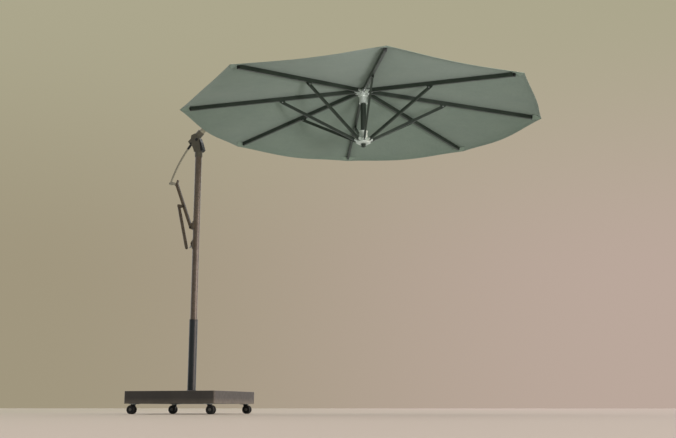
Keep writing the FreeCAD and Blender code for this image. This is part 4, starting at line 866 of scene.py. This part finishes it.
def make_grip_sleeve():
    """Thin ribbed rubber sleeve over the grip bar."""
    foot, top = Vector(GRIP_FOOT), Vector(GRIP_TOP)
    axis = (top - foot).normalized()
    place = facing(foot + axis * 0.012, axis)
    lip, ridge_top, groove = GRIP_RADIUS + 0.0008, GRIP_RADIUS + 0.0010, GRIP_RADIUS + 0.0004
    plain_end = 0.006
    ridges = 34
    pitch = (GRIP_SLEEVE - 2 * plain_end) / ridges
    profile = [(GRIP_RADIUS, 0.0), (lip, 0.001)]
    for ridge in range(ridges):
        start = plain_end + pitch * ridge
        profile += [(ridge_top, start), (ridge_top, start + pitch * 0.55),
                    (groove, start + pitch * 0.68), (groove, start + pitch * 0.88)]
    profile += [(lip, GRIP_SLEEVE - 0.001), (GRIP_RADIUS, GRIP_SLEEVE)]
    sharpen(piece("grip_sleeve", *lathe(profile, place, 40), FINISHES["lever_paint"], "grip",
                  "lever_paint"))


def make_fittings():
    """Everything small that isn't in the frame."""
    make_pin_heads()
    for number in range(1, RIB_COUNT + 1):
        make_rib_fittings(number)
    make_hub_rivets()
    make_runner_nut()
    make_sleeve_grommet()
    make_wheel_caps()
    make_grip_sleeve()


# ---------------------------------------------------------------- stage, light and camera
def make_floor():
    """Pale floor, painted with warmer light to the right and duller shade far off where the camera sees it, with a
    neutral bounce light for the cloth.
    """
    s = Surface("floor", 0.75)
    # painted light and shade: the floor as the camera sees it is painted warmer to the right and duller far off
    rightward = s.along(s.place, TO_THE_RIGHT, -3.0, 5.4)
    away = s.along(s.place, AWAY, -6.4, 4.0)
    near = s.mixed(rightward, srgb(188, 178, 156), srgb(208, 189, 178))
    far = s.mixed(rightward, srgb(182, 172, 149), srgb(200, 182, 168))
    s.colour(s.mixed(s.camera_ray(), srgb(186, 190, 184), s.mixed(away, near, far)))
    s.bump(s.noise(s.place, 60.0, 3.0, 0.6), 0.0002)
    reach = 60.0
    mesh = bpy.data.meshes.new("floor")
    mesh.from_pydata([(-reach, -reach, 0), (reach, -reach, 0), (reach, reach, 0), (-reach, reach, 0)], [],
                     [(0, 1, 2, 3)])
    mesh.materials.append(s.material)
    floor = bpy.data.objects.new("floor", mesh)
    bpy.context.scene.collection.objects.link(floor)


def make_world():
    """A warm wall colour to look at, and a neutral light that is weaker from the front."""
    world = bpy.data.worlds.new("studio")
    bpy.context.scene.world = world
    world.use_nodes = True
    sky = Nodes(world.node_tree)
    look = sky.add("ShaderNodeTexCoord").outputs["Generated"]

    def turned(direction, low, high):
        return sky.along(look, direction, low, high, "SMOOTHSTEP")

    low_wall = sky.mixed(turned(TO_THE_RIGHT, -0.35, 0.35), srgb(160, 150, 126), srgb(187, 168, 156))
    wall = sky.mixed(turned((0, 0, 1), 0.12, 0.42), low_wall, srgb(172, 167, 141))
    soft = sky.mixed(turned((0, 1, 0), -0.7, 0.5), FRONT_LIGHT, BACK_LIGHT)
    soft = sky.mixed(turned(KEY_SIDE, 0.86, 0.97), soft, KEY_LIGHT)
    seen = sky.mixed(sky.camera_ray(), soft, wall)
    sky.tree.links.new(seen, sky.tree.nodes["Background"].inputs["Color"])


def make_lights():
    """A lamp with a narrow spread, which brings out the two hubs."""
    data = bpy.data.lights.new("hub_lamp", "AREA")
    data.shape = "RECTANGLE"
    data.size = 1.2
    data.size_y = 0.6
    data.energy = 7.0
    data.spread = math.radians(40)
    lamp = bpy.data.objects.new("hub_lamp", data)
    bpy.context.scene.collection.objects.link(lamp)
    lamp.location = (4.6, -4.2, 1.1)
    lamp.rotation_euler = (Vector((AXIS_X, 0.0, 2.4)) - lamp.location).to_track_quat("-Z", "Y").to_euler()


def make_camera():
    """A 50 mm lens just above the floor, looking up at the canopy."""
    data = bpy.data.cameras.new("camera")
    data.lens = 50.0
    data.sensor_width = 36.0
    camera = bpy.data.objects.new("camera", data)
    camera.location = CAMERA_PLACE
    camera.rotation_euler = (CAMERA_PITCH, 0.0, VIEW_TURN)
    bpy.context.scene.collection.objects.link(camera)
    bpy.context.scene.camera = camera


finish_nodes()
make_canopy()
make_fittings()
make_floor()
make_world()
make_lights()
make_camera()
bpy.context.scene.view_settings.view_transform = "Standard"
